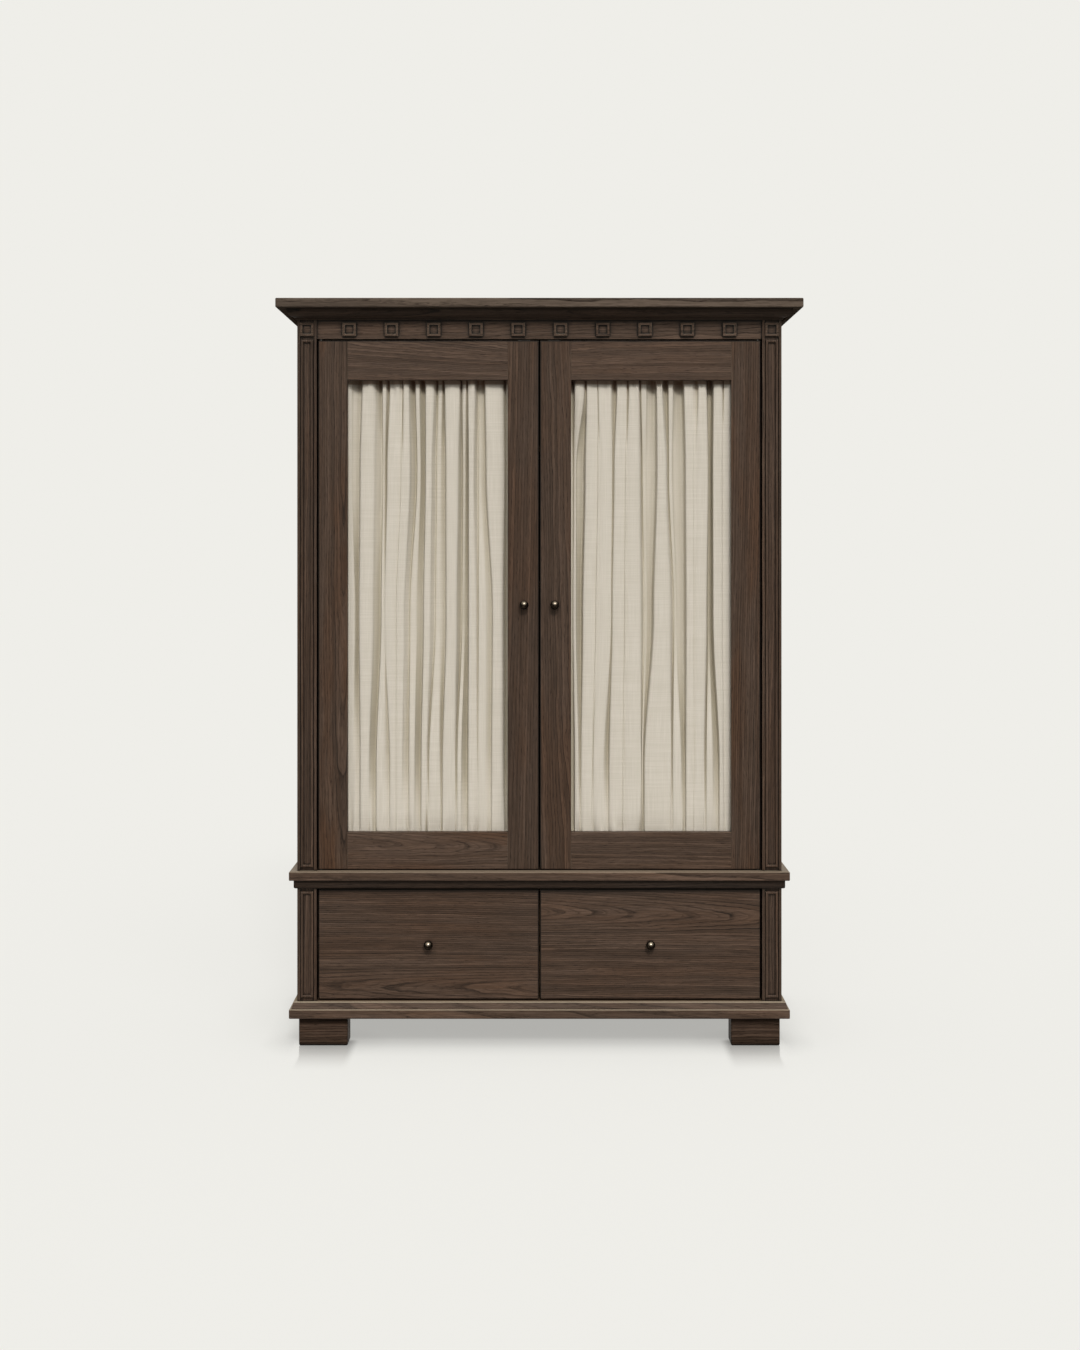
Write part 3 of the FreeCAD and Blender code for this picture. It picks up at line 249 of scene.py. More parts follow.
# How a board lies in its log
GRAIN_ORDER = {"x": (0, 1, 2), "y": (1, 0, 2), "z": (2, 0, 1)}
LOG_SHIFT = 3.0
LOG_TILT = 0.03
MIDDLE_REACHES = ((0.05, 0.14), (0.03, 0.09))

# Grain: noise scales along and across the fibres, and the spans of a noise or a ring that show
WARP_SIZES = (0.020, 0.008, 0.0022)
WARP_SCALES = ((1.3, 5.0, 5.0), (5.5, 16.0, 16.0), (19.0, 60.0, 60.0))
STREAK_SCALE = (3.0, 190.0, 190.0)
STREAK_SPAN = (0.28, 0.72)
PATCH_SCALE = (2.4, 13.0, 13.0)
PATCH_SPAN = (0.4, 0.68)
FIBRE_SCALE = (11.0, 620.0, 620.0)
FIBRE_SPAN = (0.25, 0.75)
FIBRE_TINTS = (0.68, 1.3)
FIBRE_HEIGHT_SHARE = 0.4
BREAK_SCALE = (7.0, 70.0, 70.0)
BREAK_SPAN = (0.3, 0.6)
RING_TINTS = (0.78, 1.2)
FAINT_RING_SPAN = (0.0, 0.8)
FAINT_LINE_SHARE = 0.5
LINE_FALL_SPAN = (0.02, 0.34)
LINE_RISE_SPAN = (0.92, 1.0)
LINE_HEIGHT_SHARE = -0.5
FINE_RINGS = 2.6
FINE_FALL_SPAN = (0.0, 0.4)
FINE_BREAK_SPAN = (0.35, 0.6)
FINE_LINE_SHARE = 0.45
PORE_SCALE = (42.0, 1100.0, 1100.0)
PORE_SPAN = (0.55, 0.66)
PORE_RING_SPAN = (0.7, 0.05)
PORE_RING_SHARES = (0.25, 1.0)
PORE_DARK_SHARE = 0.85
PORE_ROUGHNESS = 0.25
PORE_DEPTH = 0.0002
GRAIN_STRENGTH = 0.9
ROUGH_SPAN = (0.2, 0.8)
ROUGH_SWING = 0.06

# Wear, dirt, painted highlights and painted shade
EDGE_RADIUS = 0.003
EDGE_SAMPLES = 6
EDGE_SPAN = (0.99, 0.84)
WEAR_SCALE = (9.0, 24.0, 24.0)
WEAR_SPAN = (0.25, 0.65)
LEDGE_LIP = 0.0018
LEDGE_BLUR = 0.001
LEDGE_SLOPE_SPAN = (0.3, 0.8)
GAP_SHADE_REACHES = (0.0010, 0.0042)
GAP_SHADE_SHARE = 0.1
MOULDING_SHADOW_REACHES = (0.002, 0.019)
MOULDING_SHADOW_SHARE = 0.3
CASE_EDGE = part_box("upper_side_right")[1][0]
DOOR_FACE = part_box("left_top_rail")[0][1]
DOOR_BOARDS = ("hinge_stile", "meeting_stile", "top_rail", "bottom_rail")


class Board:
    """How one board was cut from its log, how age has marked it, and where light and shade are painted on it.

    ring is the width of a growth ring. middle and lean place the log's middle beside the board and tilt it.
    tone, warmth, lines and faded colour the wood. wear makes its outer edges pale, partly as a painted
    highlight; ledge sets a painted highlight on its ledges; the grime values darken its corners with dirt and
    painted shade; top_grime paints a shadow along its top.
    dull and shine are its polish. side_thickness is for a box, whose back has its grain across.
    """

    def __init__(self, name, axis, ring=0.006, middle=None, lean=None, tone=1.0, warmth=0.3, lines=0.8,
                 faded=0.0, wear=0.2, ledge=0.0, grime=0.3, grime_reach=0.009, grime_span=(0.4, 0.92),
                 top_grime=False, dull=0.0, shine=0.5, side_thickness=0.0):
        dice = random.Random(name)
        low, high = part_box(name)
        self.name, self.axis, self.ring = name, axis, ring
        self.tone, self.warmth, self.lines = tone, warmth, lines
        self.faded, self.wear, self.ledge = faded, wear, ledge
        self.grime, self.grime_reach, self.grime_span = grime, grime_reach, grime_span
        self.top_grime = top_grime
        self.dull, self.shine = dull, shine
        self.side_thickness = side_thickness
        self.shift = tuple(dice.uniform(-LOG_SHIFT, LOG_SHIFT) for _ in range(3))
        centre = [(low[index] + high[index]) / 2 for index in GRAIN_ORDER[axis]]
        self.start = centre[0]
        off = [dice.choice((-1, 1)) * dice.uniform(*reaches) for reaches in MIDDLE_REACHES]
        self.middle = [place + step for place, step in zip(centre[1:], middle or off)]
        self.lean = lean or [dice.uniform(-LOG_TILT, LOG_TILT) for _ in range(2)]


def board_places(graph, board):
    """The place in the board's log: along the grain first. A box's back lies across, between its sides."""
    parts = graph.split(graph.place())
    ordered = graph.vector(*[parts[index] for index in GRAIN_ORDER[board.axis]])
    if board.side_thickness:
        low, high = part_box(board.name)
        off = graph.math("ABSOLUTE", graph.math("SUBTRACT", parts[0], (low[0] + high[0]) / 2))
        between = graph.math("LESS_THAN", off, (high[0] - low[0]) / 2 - board.side_thickness)
        ordered = graph.blend(between, ordered, graph.vector(*parts))
    return ordered, graph.scaled(ordered, (1.0, 1.0, 1.0), board.shift)


def grain_warp(graph, own):
    """How far the grain swings to the side, in slow and quick waves."""
    warp = 0.0
    for size, scales in zip(WARP_SIZES, WARP_SCALES):
        warp = graph.math("MULTIPLY_ADD", graph.noise(own, scales), size, warp)
    return warp


def along_fibres(graph, own, warp):
    """A place in the board, with the grain's swing taken out, for what runs along the fibres."""
    along, across, depth = graph.split(own)
    return graph.vector(along, graph.math("ADD", across, warp), graph.math("ADD", depth, warp))


def growth_rings(graph, board, ordered, warp):
    """Rings about a log's middle that leans against the board, so that flat faces show arches."""
    along, across, depth = graph.split(ordered)
    run = graph.math("SUBTRACT", along, board.start)
    squares = []
    for place, middle, lean in zip((across, depth), board.middle, board.lean):
        off = graph.math("SUBTRACT", graph.math("MULTIPLY_ADD", run, lean, place), middle)
        warped = graph.math("ADD", off, warp)
        squares.append(graph.math("MULTIPLY", warped, warped))
    radius = graph.math("SQRT", graph.math("ADD", *squares))
    count = graph.math("DIVIDE", radius, board.ring)
    fine = graph.math("FRACT", graph.math("MULTIPLY", count, FINE_RINGS))
    return graph.math("FRACT", count), fine, graph.dice(graph.math("FLOOR", count))


class Grain:
    """One board's growth rings, and the noises that run along its fibres."""

    def __init__(self, graph, board):
        ordered, self.own = board_places(graph, board)
        warp = grain_warp(graph, self.own)
        fibres = along_fibres(graph, self.own, warp)
        self.phase, self.fine_phase, self.ring_dice = growth_rings(graph, board, ordered, warp)
        self.streak = graph.noise(fibres, STREAK_SCALE, detail=3.0, roughness=0.65)
        self.fibre = graph.noise(fibres, FIBRE_SCALE, roughness=0.6)
        self.patch = graph.noise(self.own, PATCH_SCALE)
        self.breaks = graph.noise(self.own, BREAK_SCALE)
        self.pore = graph.noise(fibres, PORE_SCALE, detail=1.0)


def bare_colour(graph, board, grain, colours):
    """The wood between its lines: streaky, warm in patches and uneven from ring to ring."""
    body = graph.blend(graph.span(grain.streak, *STREAK_SPAN), colours["mid"], colours["light"])
    warm_share = graph.math("MULTIPLY", graph.span(grain.patch, *PATCH_SPAN), board.warmth)
    body = graph.blend(warm_share, body, colours["warm"])
    if board.faded:
        body = graph.blend(board.faded, body, FADED_COLOUR)
    body = graph.tinted(body, graph.span(grain.ring_dice, 0.0, 1.0, *RING_TINTS))
    return graph.tinted(body, graph.span(grain.fibre, *FIBRE_SPAN, *FIBRE_TINTS))


def ring_lines(graph, board, grain):
    """Where a growth ring ends, and how dark that line and the fine ones between are. Some break off."""
    falling = graph.span(grain.phase, *LINE_FALL_SPAN, 1.0, 0.0)
    line = graph.math("MAXIMUM", falling, graph.span(grain.phase, *LINE_RISE_SPAN))
    unbroken = graph.span(grain.breaks, *BREAK_SPAN, FAINT_LINE_SHARE, 1.0)
    uneven = graph.span(grain.ring_dice, *FAINT_RING_SPAN, 1.0, FAINT_LINE_SHARE)
    strength = graph.math("MULTIPLY", unbroken, uneven)
    dark = graph.math("MULTIPLY", graph.math("MULTIPLY", line, strength), board.lines)
    fine_line = graph.span(grain.fine_phase, *FINE_FALL_SPAN, 1.0, 0.0)
    fine_line = graph.math("MULTIPLY", fine_line, graph.span(grain.breaks, *FINE_BREAK_SPAN))
    return line, graph.math("MULTIPLY_ADD", fine_line, board.lines * FINE_LINE_SHARE, dark)


def worn_and_highlit_edges(graph, own):
    """How far a place lies on an outer edge, broken up into uneven patches: a pale edge that is partly scuffed
    by use and partly a painted highlight.
    """
    bevel = graph.add("ShaderNodeBevel", samples=EDGE_SAMPLES)
    bevel.inputs["Radius"].default_value = EDGE_RADIUS
    round_normal = bevel.outputs[0]
    likeness = graph.dot(round_normal, graph.add("ShaderNodeNewGeometry").outputs["Normal"])
    patches = graph.noise(own, WEAR_SCALE, detail=3.0)
    wear = graph.math("MULTIPLY", graph.span(likeness, *EDGE_SPAN), graph.span(patches, *WEAR_SPAN))
    return wear, round_normal


def painted_ledge_highlight(graph, name):
    """How far a place lies on a ledge outside the case, or on its lip, where a painted highlight makes it
    pale.
    """
    across, depth, height = graph.split(graph.place())
    beside = graph.math("SUBTRACT", graph.math("ABSOLUTE", across), CASE_EDGE)
    before = graph.math("SUBTRACT", DOOR_FACE, depth)
    outside = graph.span(graph.math("MAXIMUM", beside, before), -LEDGE_BLUR, LEDGE_BLUR)
    upward = graph.split(graph.add("ShaderNodeNewGeometry").outputs["Normal"])[2]
    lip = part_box(name)[1][2] - LEDGE_LIP
    on_lip = graph.span(height, lip - LEDGE_BLUR, lip + LEDGE_BLUR)
    highlit = graph.math("MAXIMUM", graph.span(upward, *LEDGE_SLOPE_SPAN), on_lip)
    return graph.math("MULTIPLY", outside, highlit)


def gap_outline(name):
    """The inner side, outer side and top of the door or drawer front that a board belongs to."""
    side, _, kind = name.partition("_")
    if kind in DOOR_BOARDS:
        boxes = [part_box(side + "_hinge_stile"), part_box(side + "_meeting_stile")]
    elif kind == "drawer_front":
        boxes = [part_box(name)]
    else:
        return None
    reaches = [abs(corner[0]) for box in boxes for corner in box]
    return min(reaches), max(reaches), boxes[0][1][2]


def painted_gap_shade(graph, inner, outer, top):
    """Painted shade beside the gaps at both sides and over a door or drawer."""
    across, _, height = graph.split(graph.place())
    beside = graph.math("ABSOLUTE", across)
    from_outer = graph.math("SUBTRACT", outer, beside)
    from_side = graph.math("MINIMUM", from_outer, graph.math("SUBTRACT", beside, inner))
    nearest = graph.math("MINIMUM", from_side, graph.math("SUBTRACT", top, height))
    return graph.span(nearest, *GAP_SHADE_REACHES, GAP_SHADE_SHARE, 1.0)


def top_grime(graph, name):
    """A painted shadow along a board's top, fading downward, where a moulding hangs over it."""
    height = graph.split(graph.place())[2]
    below_top = graph.math("SUBTRACT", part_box(name)[1][2], height)
    return graph.span(below_top, *MOULDING_SHADOW_REACHES, MOULDING_SHADOW_SHARE, 1.0)


def aged_with_painted_light(graph, board, body, ledge_highlight_colour):
    """A board's colour with a painted highlight on its ledge, dirt and painted shade in its corners, painted
    shade beside its gaps and a painted shadow under mouldings.
    """
    # Dirt and painted shade in corners and under edges, darker where a place is less open
    clean_and_unshaded = graph.span(graph.openness(board.grime_reach), *board.grime_span, board.grime, 1.0)
    # A painted highlight on ledge tops and lips, which also lifts the painted shade there
    if board.ledge:
        highlit_ledge = graph.math("MULTIPLY", painted_ledge_highlight(graph, board.name), board.ledge)
        body = graph.blend(highlit_ledge, body, ledge_highlight_colour)
        clean_and_unshaded = graph.math("MAXIMUM", clean_and_unshaded, highlit_ledge)
    # Painted shade beside the gaps round a door or drawer front
    outline = gap_outline(board.name)
    if outline:
        clean_and_unshaded = graph.math("MULTIPLY", clean_and_unshaded, painted_gap_shade(graph, *outline))
    # A painted shadow under the moulding above the board
    if board.top_grime:
        clean_and_unshaded = graph.math("MULTIPLY", clean_and_unshaded, top_grime(graph, board.name))
    return graph.tinted(body, graph.math("MULTIPLY", clean_and_unshaded, board.tone))


def wood(board, colours, roughness):
    """One board's finish, with its grain along the board's axis."""
    material, graph = new_material(board.name)
    grain = Grain(graph, board)
    line, line_share = ring_lines(graph, board, grain)
    pore_share = graph.span(grain.phase, *PORE_RING_SPAN, *PORE_RING_SHARES)
    pore = graph.math("MULTIPLY", graph.span(grain.pore, *PORE_SPAN), pore_share)
    wear, round_normal = worn_and_highlit_edges(graph, grain.own)

    body = bare_colour(graph, board, grain, colours)
    body = graph.blend(line_share, body, colours["dark"])
    body = graph.blend(graph.math("MULTIPLY", pore, PORE_DARK_SHARE), body, colours["pore"])
    # Outer edges made pale: partly real scuffing, partly a painted highlight
    body = graph.blend(graph.math("MULTIPLY", wear, board.wear), body, colours["worn_and_highlit"])
    body = aged_with_painted_light(graph, board, body, colours["worn_and_highlit"])

    even_rough = roughness + board.dull
    rough = graph.span(grain.streak, *ROUGH_SPAN, even_rough + ROUGH_SWING, even_rough - ROUGH_SWING)
    rough = graph.math("MULTIPLY_ADD", pore, PORE_ROUGHNESS, rough)
    height = graph.math("SUBTRACT", graph.math("MULTIPLY", grain.fibre, FIBRE_HEIGHT_SHARE), pore)
    height = graph.math("MULTIPLY_ADD", line, LINE_HEIGHT_SHARE, height)
    normal = graph.bump(height, PORE_DEPTH, GRAIN_STRENGTH, round_normal)
    graph.surface(Base_Color=body, Roughness=rough, Normal=normal, Specular_IOR_Level=board.shine,
                  Specular_Tint=WAX_TINT)
    return material


# The boards by the way their grain runs
PILASTERS = ["upper_pilaster_left", "upper_pilaster_right", "lower_pilaster_left", "lower_pilaster_right"]
DRAWER_BOXES = ["left_drawer_box", "right_drawer_box"]
STAINED_GRAIN = {
    "x": [
        "cornice_board", "cornice_moulding_front", "frieze_rail", "frieze_blocks",
        "left_top_rail", "right_top_rail", "left_bottom_rail", "right_bottom_rail",
        "waist_board", "waist_moulding_front", "left_drawer_front", "right_drawer_front",
        "base_moulding_front", "base_board", "front_feet", "rear_feet",
    ],
    "y": ["cornice_moulding_returns", "waist_moulding_returns", "base_moulding_returns"],
    "z": [
        "left_hinge_stile", "right_hinge_stile", "left_meeting_stile", "right_meeting_stile",
        *PILASTERS, "pilaster_beads",
        "upper_side_left", "upper_side_right", "lower_side_left", "lower_side_right",
    ],
}
INNER_GRAIN = {
    "x": [
        "shelf_lower", "shelf_middle", "shelf_upper", "waist_rail", "drawer_sill",
        "left_drawer_bottom", "right_drawer_bottom",
    ],
    "y": [*DRAWER_BOXES, "drawer_runners"],
    "z": ["upper_back_panel", "lower_back_panel", "drawer_partition"],
}
DRAWER_SIDE_THICKNESS = 0.014

# What sets some boards apart from the others: their cut, tone, wear, dirt, painted highlights and painted
# shade
OWN_CUTS = {
    "cornice_board": dict(tone=1.02, warmth=0.0, lines=0.4, faded=0.6, wear=0.5, shine=0.0),
    # The cornice moulding and its returns have a low tone: painted shade under the cornice board
    "cornice_moulding_front": dict(tone=0.5, warmth=0.2, wear=0.1, dull=0.2),
    "cornice_moulding_returns": dict(tone=0.6, warmth=0.2, wear=0.1, shine=0.0),
    "frieze_rail": dict(
        ring=0.005, tone=1.2, warmth=0.1, lines=0.6, grime=0.0, grime_reach=0.018, grime_span=(0.62, 0.98)),
    "frieze_blocks": dict(
        ring=0.005, tone=1.1, warmth=0.1, wear=0.7, grime=0.0, grime_reach=0.012, grime_span=(0.62, 0.98)),
    **{name: dict(tone=0.88, grime=0.1) for name in PILASTERS},
    "pilaster_beads": dict(tone=0.92, wear=0.5, grime=0.15),
    "left_top_rail": dict(ring=0.0045, middle=(0.05, 0.09), lean=(0.06, 0.04), tone=1.08, warmth=0.15),
    "right_top_rail": dict(ring=0.0045, middle=(0.10, 0.12), tone=1.08, warmth=0.2, lines=0.5),
    "left_bottom_rail": dict(ring=0.005, middle=(0.04, 0.03), lean=(-0.05, 0.03), tone=1.02, warmth=0.6),
    "right_bottom_rail": dict(ring=0.005, middle=(0.06, -0.08), warmth=0.45, lines=0.55),
    "left_hinge_stile": dict(
        ring=0.007, middle=(0.045, 0.02), lean=(0.0, 0.03), tone=0.85, warmth=0.8, grime=0.0),
    "right_hinge_stile": dict(middle=(-0.06, 0.03), tone=0.85, warmth=0.7, grime=0.0),
    "left_meeting_stile": dict(middle=(-0.09, 0.10), tone=0.87, warmth=0.45, lines=0.6, grime=0.0),
    "right_meeting_stile": dict(middle=(0.10, 0.09), tone=0.87, warmth=0.45, lines=0.6, grime=0.0),
    "waist_board": dict(tone=1.18, warmth=0.2, lines=0.4, wear=0.7, ledge=0.4, dull=0.1),
    # The waist moulding and its returns have a low tone: painted shade under the waist board
    "waist_moulding_front": dict(tone=0.31, wear=0.1, dull=0.2),
    "waist_moulding_returns": dict(tone=0.5, wear=0.1, shine=0.0),
    # The drawer fronts carry a painted shadow under the waist moulding
    "left_drawer_front": dict(
        ring=0.0055, middle=(0.045, -0.105), lean=(0.035, 0.02), tone=0.97, lines=1.0, top_grime=True),
    "right_drawer_front": dict(
        ring=0.0055, middle=(0.05, 0.10), lean=(-0.04, 0.03), tone=0.99, lines=1.0, top_grime=True),
    **{name: dict(side_thickness=DRAWER_SIDE_THICKNESS) for name in DRAWER_BOXES},
    "base_moulding_front": dict(tone=0.9, lines=0.6, wear=0.9, ledge=1.0),
    "base_moulding_returns": dict(tone=0.95, wear=0.8, ledge=0.8, shine=0.0),
    "base_board": dict(tone=1.05, lines=0.55, wear=0.8, ledge=0.7, dull=0.1),
    "front_feet": dict(tone=0.82, grime=0.1, grime_reach=0.03, shine=0.1),
}


def dress_boards(grains, colours, roughness):
    """Gives each board wood of its own."""
    for axis, names in grains.items():
        for name in names:
            board = Board(name, axis, **OWN_CUTS.get(name, {}))
            dress([name], wood(board, colours, roughness))


# Metals
BRONZE_NODES = ["left_door_knob", "right_door_knob", "left_drawer_knob", "right_drawer_knob"]
BRONZE_DARK = linear(24, 18, 14)
BRONZE_RUBBED = linear(62, 52, 42)
BRONZE_HIGHLIGHT = linear(136, 125, 110)
BRONZE_ROUGHNESSES = (0.32, 0.22)
BRONZE_PATCH_SCALE = (120.0, 120.0, 120.0)
BRONZE_PATCH_SPAN = (0.45, 0.75)
BRONZE_GRIT_SCALE = (900.0, 900.0, 900.0)
BRONZE_GRIT_DEPTH = 0.00006
BRONZE_GRIT_STRENGTH = 0.6
# Where the painted highlight lies on a knob
HIGHLIGHT_SIDE = (0.0, -0.78, 0.62)
HIGHLIGHT_SPAN = (0.74, 1.0)
STEEL_NODES = [
    "door_catches", "pivot_sockets", "shelf_pins", "left_curtain_rods", "right_curtain_rods",
    "left_door_ironwork", "right_door_ironwork", "left_drawer_slides", "right_drawer_slides",
]
STEEL_DULL = linear(118, 116, 112)
STEEL_DARK = linear(84, 82, 80)
STEEL_ROUGHNESSES = (0.34, 0.5)
STEEL_LINE_SCALE = (40.0, 900.0, 900.0)
STEEL_LINE_SPAN = (0.2, 0.8)
STEEL_LINE_DEPTH = 0.00004
STEEL_LINE_STRENGTH = 0.5
STEEL_PATCH_SCALE = (60.0, 60.0, 60.0)
METAL_PATCH_SPAN = (0.3, 0.7)


def bronze():
    """Nearly black bronze, dark with age, a little lighter in patches, with a painted highlight on the upper
    front.
    """
    material, graph = new_material("aged_bronze")
    patches = graph.noise(graph.place(), BRONZE_PATCH_SCALE, detail=4.0, roughness=0.6)
    grit = graph.noise(graph.place(), BRONZE_GRIT_SCALE)
    colour = graph.blend(graph.span(patches, *BRONZE_PATCH_SPAN), BRONZE_DARK, BRONZE_RUBBED)
    # A painted highlight on the upper front of each knob
    highlit = graph.span(graph.dot(graph.place("Normal"), HIGHLIGHT_SIDE), *HIGHLIGHT_SPAN)
    colour = graph.blend(highlit, colour, BRONZE_HIGHLIGHT)
    rough = graph.span(patches, *METAL_PATCH_SPAN, *BRONZE_ROUGHNESSES)
    normal = graph.bump(grit, BRONZE_GRIT_DEPTH, BRONZE_GRIT_STRENGTH)
    graph.surface(Base_Color=colour, Metallic=1.0, Roughness=rough, Normal=normal)
    return material


def steel():
    """Dull plated steel with fine drawn lines."""
    material, graph = new_material("dull_steel")
    lines = graph.noise(graph.place(), STEEL_LINE_SCALE)
    patches = graph.noise(graph.place(), STEEL_PATCH_SCALE, detail=3.0)
    colour = graph.blend(graph.span(patches, *METAL_PATCH_SPAN), STEEL_DARK, STEEL_DULL)
    rough = graph.span(lines, *STEEL_LINE_SPAN, *STEEL_ROUGHNESSES)
    normal = graph.bump(lines, STEEL_LINE_DEPTH, STEEL_LINE_STRENGTH)
    graph.surface(Base_Color=colour, Metallic=1.0, Roughness=rough, Normal=normal)
    return material


# Linen
LINEN_PALE = linear(218, 210, 197)
LINEN_DEEP = linear(206, 198, 183)
LINEN_ROUGHNESSES = (0.95, 0.85)
LINEN_ROUGH_SPAN = (0.7, 1.3)
LINEN_SHEEN = 0.15
WARP_SLUB_SCALE = (800.0, 9.0, 1.0)
WEFT_SLUB_SCALE = (7.0, 620.0, 1.0)
SLUB_SPAN = (0.75, 1.3)
CLOUD_SCALE = (9.0, 5.0, 1.0)
CLOUD_SPAN = (0.35, 0.75)
CLOUD_SHARE = 0.25
THREAD_PITCH = 0.0011
THREAD_SHARE = 0.35
WEAVE_DEPTH = 0.00025
WEAVE_STRENGTH = 0.5
FOLD_SHADE_TINT = (0.71, 0.69, 0.61)
FOLD_SHADE_REACH = 0.05
FOLD_SHADE_SPAN = (0.3, 0.9)
# The painted shadow by the top rail
RAIL_SHADOW_TINT = (0.30, 0.17, 0.105)
SHADOWED_FOLD_SPAN = (0.35, 0.85)
FRONT_SIDE_SPAN = (-0.1, 0.15)
RAIL_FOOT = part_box("left_top_rail")[0][2]
RAIL_SHADE_REACH = 0.045
GATHER_BAND = (0.014, 0.008)
GATHER_BAND_SHARE = 0.8
RAIL_SHADOW_END = (0.008, 0.020)


def painted_rail_shadow(graph, openness):
    """A painted shadow on the cloth's front by the foot of the top rail: a band all across, and in the folds
    below it.
    """
    height = graph.split(graph.place())[2]
    backward = graph.split(graph.place("Normal"))[1]
    near_rail = graph.span(height, RAIL_FOOT - RAIL_SHADE_REACH, RAIL_FOOT)
    in_folds = graph.math("MULTIPLY", near_rail, graph.span(openness, *SHADOWED_FOLD_SPAN, 1.0, 0.0))
    band = graph.span(height, *[RAIL_FOOT - drop for drop in GATHER_BAND], 0.0, GATHER_BAND_SHARE)
    shadowed = graph.math("MAXIMUM", band, in_folds)
    below_end = graph.span(height, *[RAIL_FOOT + rise for rise in RAIL_SHADOW_END], 1.0, 0.0)
    front = graph.span(backward, *FRONT_SIDE_SPAN, 1.0, 0.0)
    return graph.math("MULTIPLY", shadowed, graph.math("MULTIPLY", below_end, front))


def linen():
    """Plain-woven ivory linen with uneven threads both ways, with painted shade in its folds and a painted
    shadow by the rail.
    """
    material, graph = new_material("linen")
    flat_place = graph.add("ShaderNodeUVMap", uv_map="cloth").outputs[0]
    slub_scales = (WARP_SLUB_SCALE, WEFT_SLUB_SCALE)
    slubs = graph.math("ADD", *[graph.noise(flat_place, scales) for scales in slub_scales])
    cloud = graph.noise(flat_place, CLOUD_SCALE)
    waves = []
    for part in graph.split(flat_place)[:2]:
        waves.append(graph.math("SINE", graph.math("MULTIPLY", part, math.tau / THREAD_PITCH)))
    threads = graph.math("MULTIPLY_ADD", graph.math("MULTIPLY", *waves), THREAD_SHARE, slubs)

    colour = graph.blend(graph.span(slubs, *SLUB_SPAN), LINEN_DEEP, LINEN_PALE)
    colour = graph.blend(graph.span(cloud, *CLOUD_SPAN, 0.0, CLOUD_SHARE), colour, LINEN_DEEP)
    # Painted shade in the folds, darker where the cloth is less open
    openness = graph.openness(FOLD_SHADE_REACH, alone=True)
    shade = graph.blend(graph.span(openness, *FOLD_SHADE_SPAN), FOLD_SHADE_TINT, WHITE)
    # A painted shadow from the top rail
    shade = graph.blend(painted_rail_shadow(graph, openness), shade, RAIL_SHADOW_TINT)
    colour = graph.blend(1.0, colour, shade, "MULTIPLY")
    rough = graph.span(slubs, *LINEN_ROUGH_SPAN, *LINEN_ROUGHNESSES)
    normal = graph.bump(threads, WEAVE_DEPTH, WEAVE_STRENGTH)
    graph.surface(Base_Color=colour, Roughness=rough, Normal=normal, Sheen_Weight=LINEN_SHEEN)
    return material


# Curtains: gathered linen on two rods behind each door. An entry of a table is one fold, from left to right.
# Its four groups hold shares at the key heights: the crest's left and right edge over the opening's width,
# how far the crest lies back, and how deep the valley to its right is, over the depth of a full fold.
KEY_HEIGHT_SHARES = (0.0, 0.2, 0.52, 0.86)
LEFT_FOLD_SHARES = (
    ((-0.02, -0.02, -0.02, -0.02), (0.022, 0.020, 0.038, 0.030),
     (0.1, 0.3, 0.2, 0.2), (0.75, 0.75, 1.00, 0.50)),
    ((0.087, 0.074, 0.067, 0.076), (0.174, 0.163, 0.154, 0.130),
     (0.0, 0.0, 0.0, 0.0), (0.85, 0.80, 0.85, 0.95)),
    ((0.215, 0.214, 0.208, 0.176), (0.236, 0.228, 0.222, 0.226),
     (0.1, 0.65, 0.1, 0.0), (0.90, 0.85, 0.10, 0.45)),
    ((0.261, 0.243, 0.228, 0.262), (0.334, 0.330, 0.300, 0.300),
     (0.1, 0.0, 0.0, 0.0), (0.60, 0.04, 0.00, 0.00)),
    ((0.347, 0.342, 0.310, 0.306), (0.380, 0.386, 0.350, 0.338),
     (0.0, 0.0, 0.0, 0.0), (0.85, 0.95, 0.65, 0.55)),
    ((0.422, 0.431, 0.385, 0.382), (0.446, 0.452, 0.428, 0.415),
     (0.1, 0.45, 0.45, 0.0), (0.90, 1.00, 0.85, 0.90)),
    ((0.485, 0.486, 0.474, 0.458), (0.537, 0.522, 0.513, 0.490),
     (0.0, 0.0, 0.0, 0.0), (0.75, 0.70, 0.65, 0.50)),
    ((0.562, 0.553, 0.546, 0.506), (0.588, 0.580, 0.580, 0.568),
     (0.5, 0.55, 0.50, 0.05), (1.00, 0.80, 0.70, 0.70)),
    ((0.605, 0.613, 0.615, 0.592), (0.694, 0.688, 0.678, 0.664),
     (0.0, 0.0, 0.0, 0.0), (1.00, 0.90, 0.90, 1.00)),
    ((0.714, 0.718, 0.712, 0.684), (0.736, 0.734, 0.730, 0.708),
     (0.2, 0.55, 0.75, 0.05), (1.00, 0.95, 0.95, 1.00)),
    ((0.752, 0.756, 0.756, 0.752), (0.794, 0.786, 0.796, 0.800),
     (0.0, 0.0, 0.0, 0.0), (0.75, 0.70, 0.35, 0.20)),
    ((0.818, 0.816, 0.818, 0.814), (0.834, 0.836, 0.864, 0.862),
     (0.7, 0.60, 0.10, 0.05), (0.75, 0.75, 0.55, 0.50)),
    ((0.857, 0.865, 0.906, 0.900), (0.968, 0.974, 0.967, 0.968),
     (0.0, 0.0, 0.0, 0.0), (0.95, 0.80, 0.90, 0.90)),
    ((0.992, 0.992, 0.990, 0.990), (1.020, 1.020, 1.020, 1.020),
     (0.3, 0.3, 0.4, 0.4), (0.00, 0.00, 0.00, 0.00)),
)
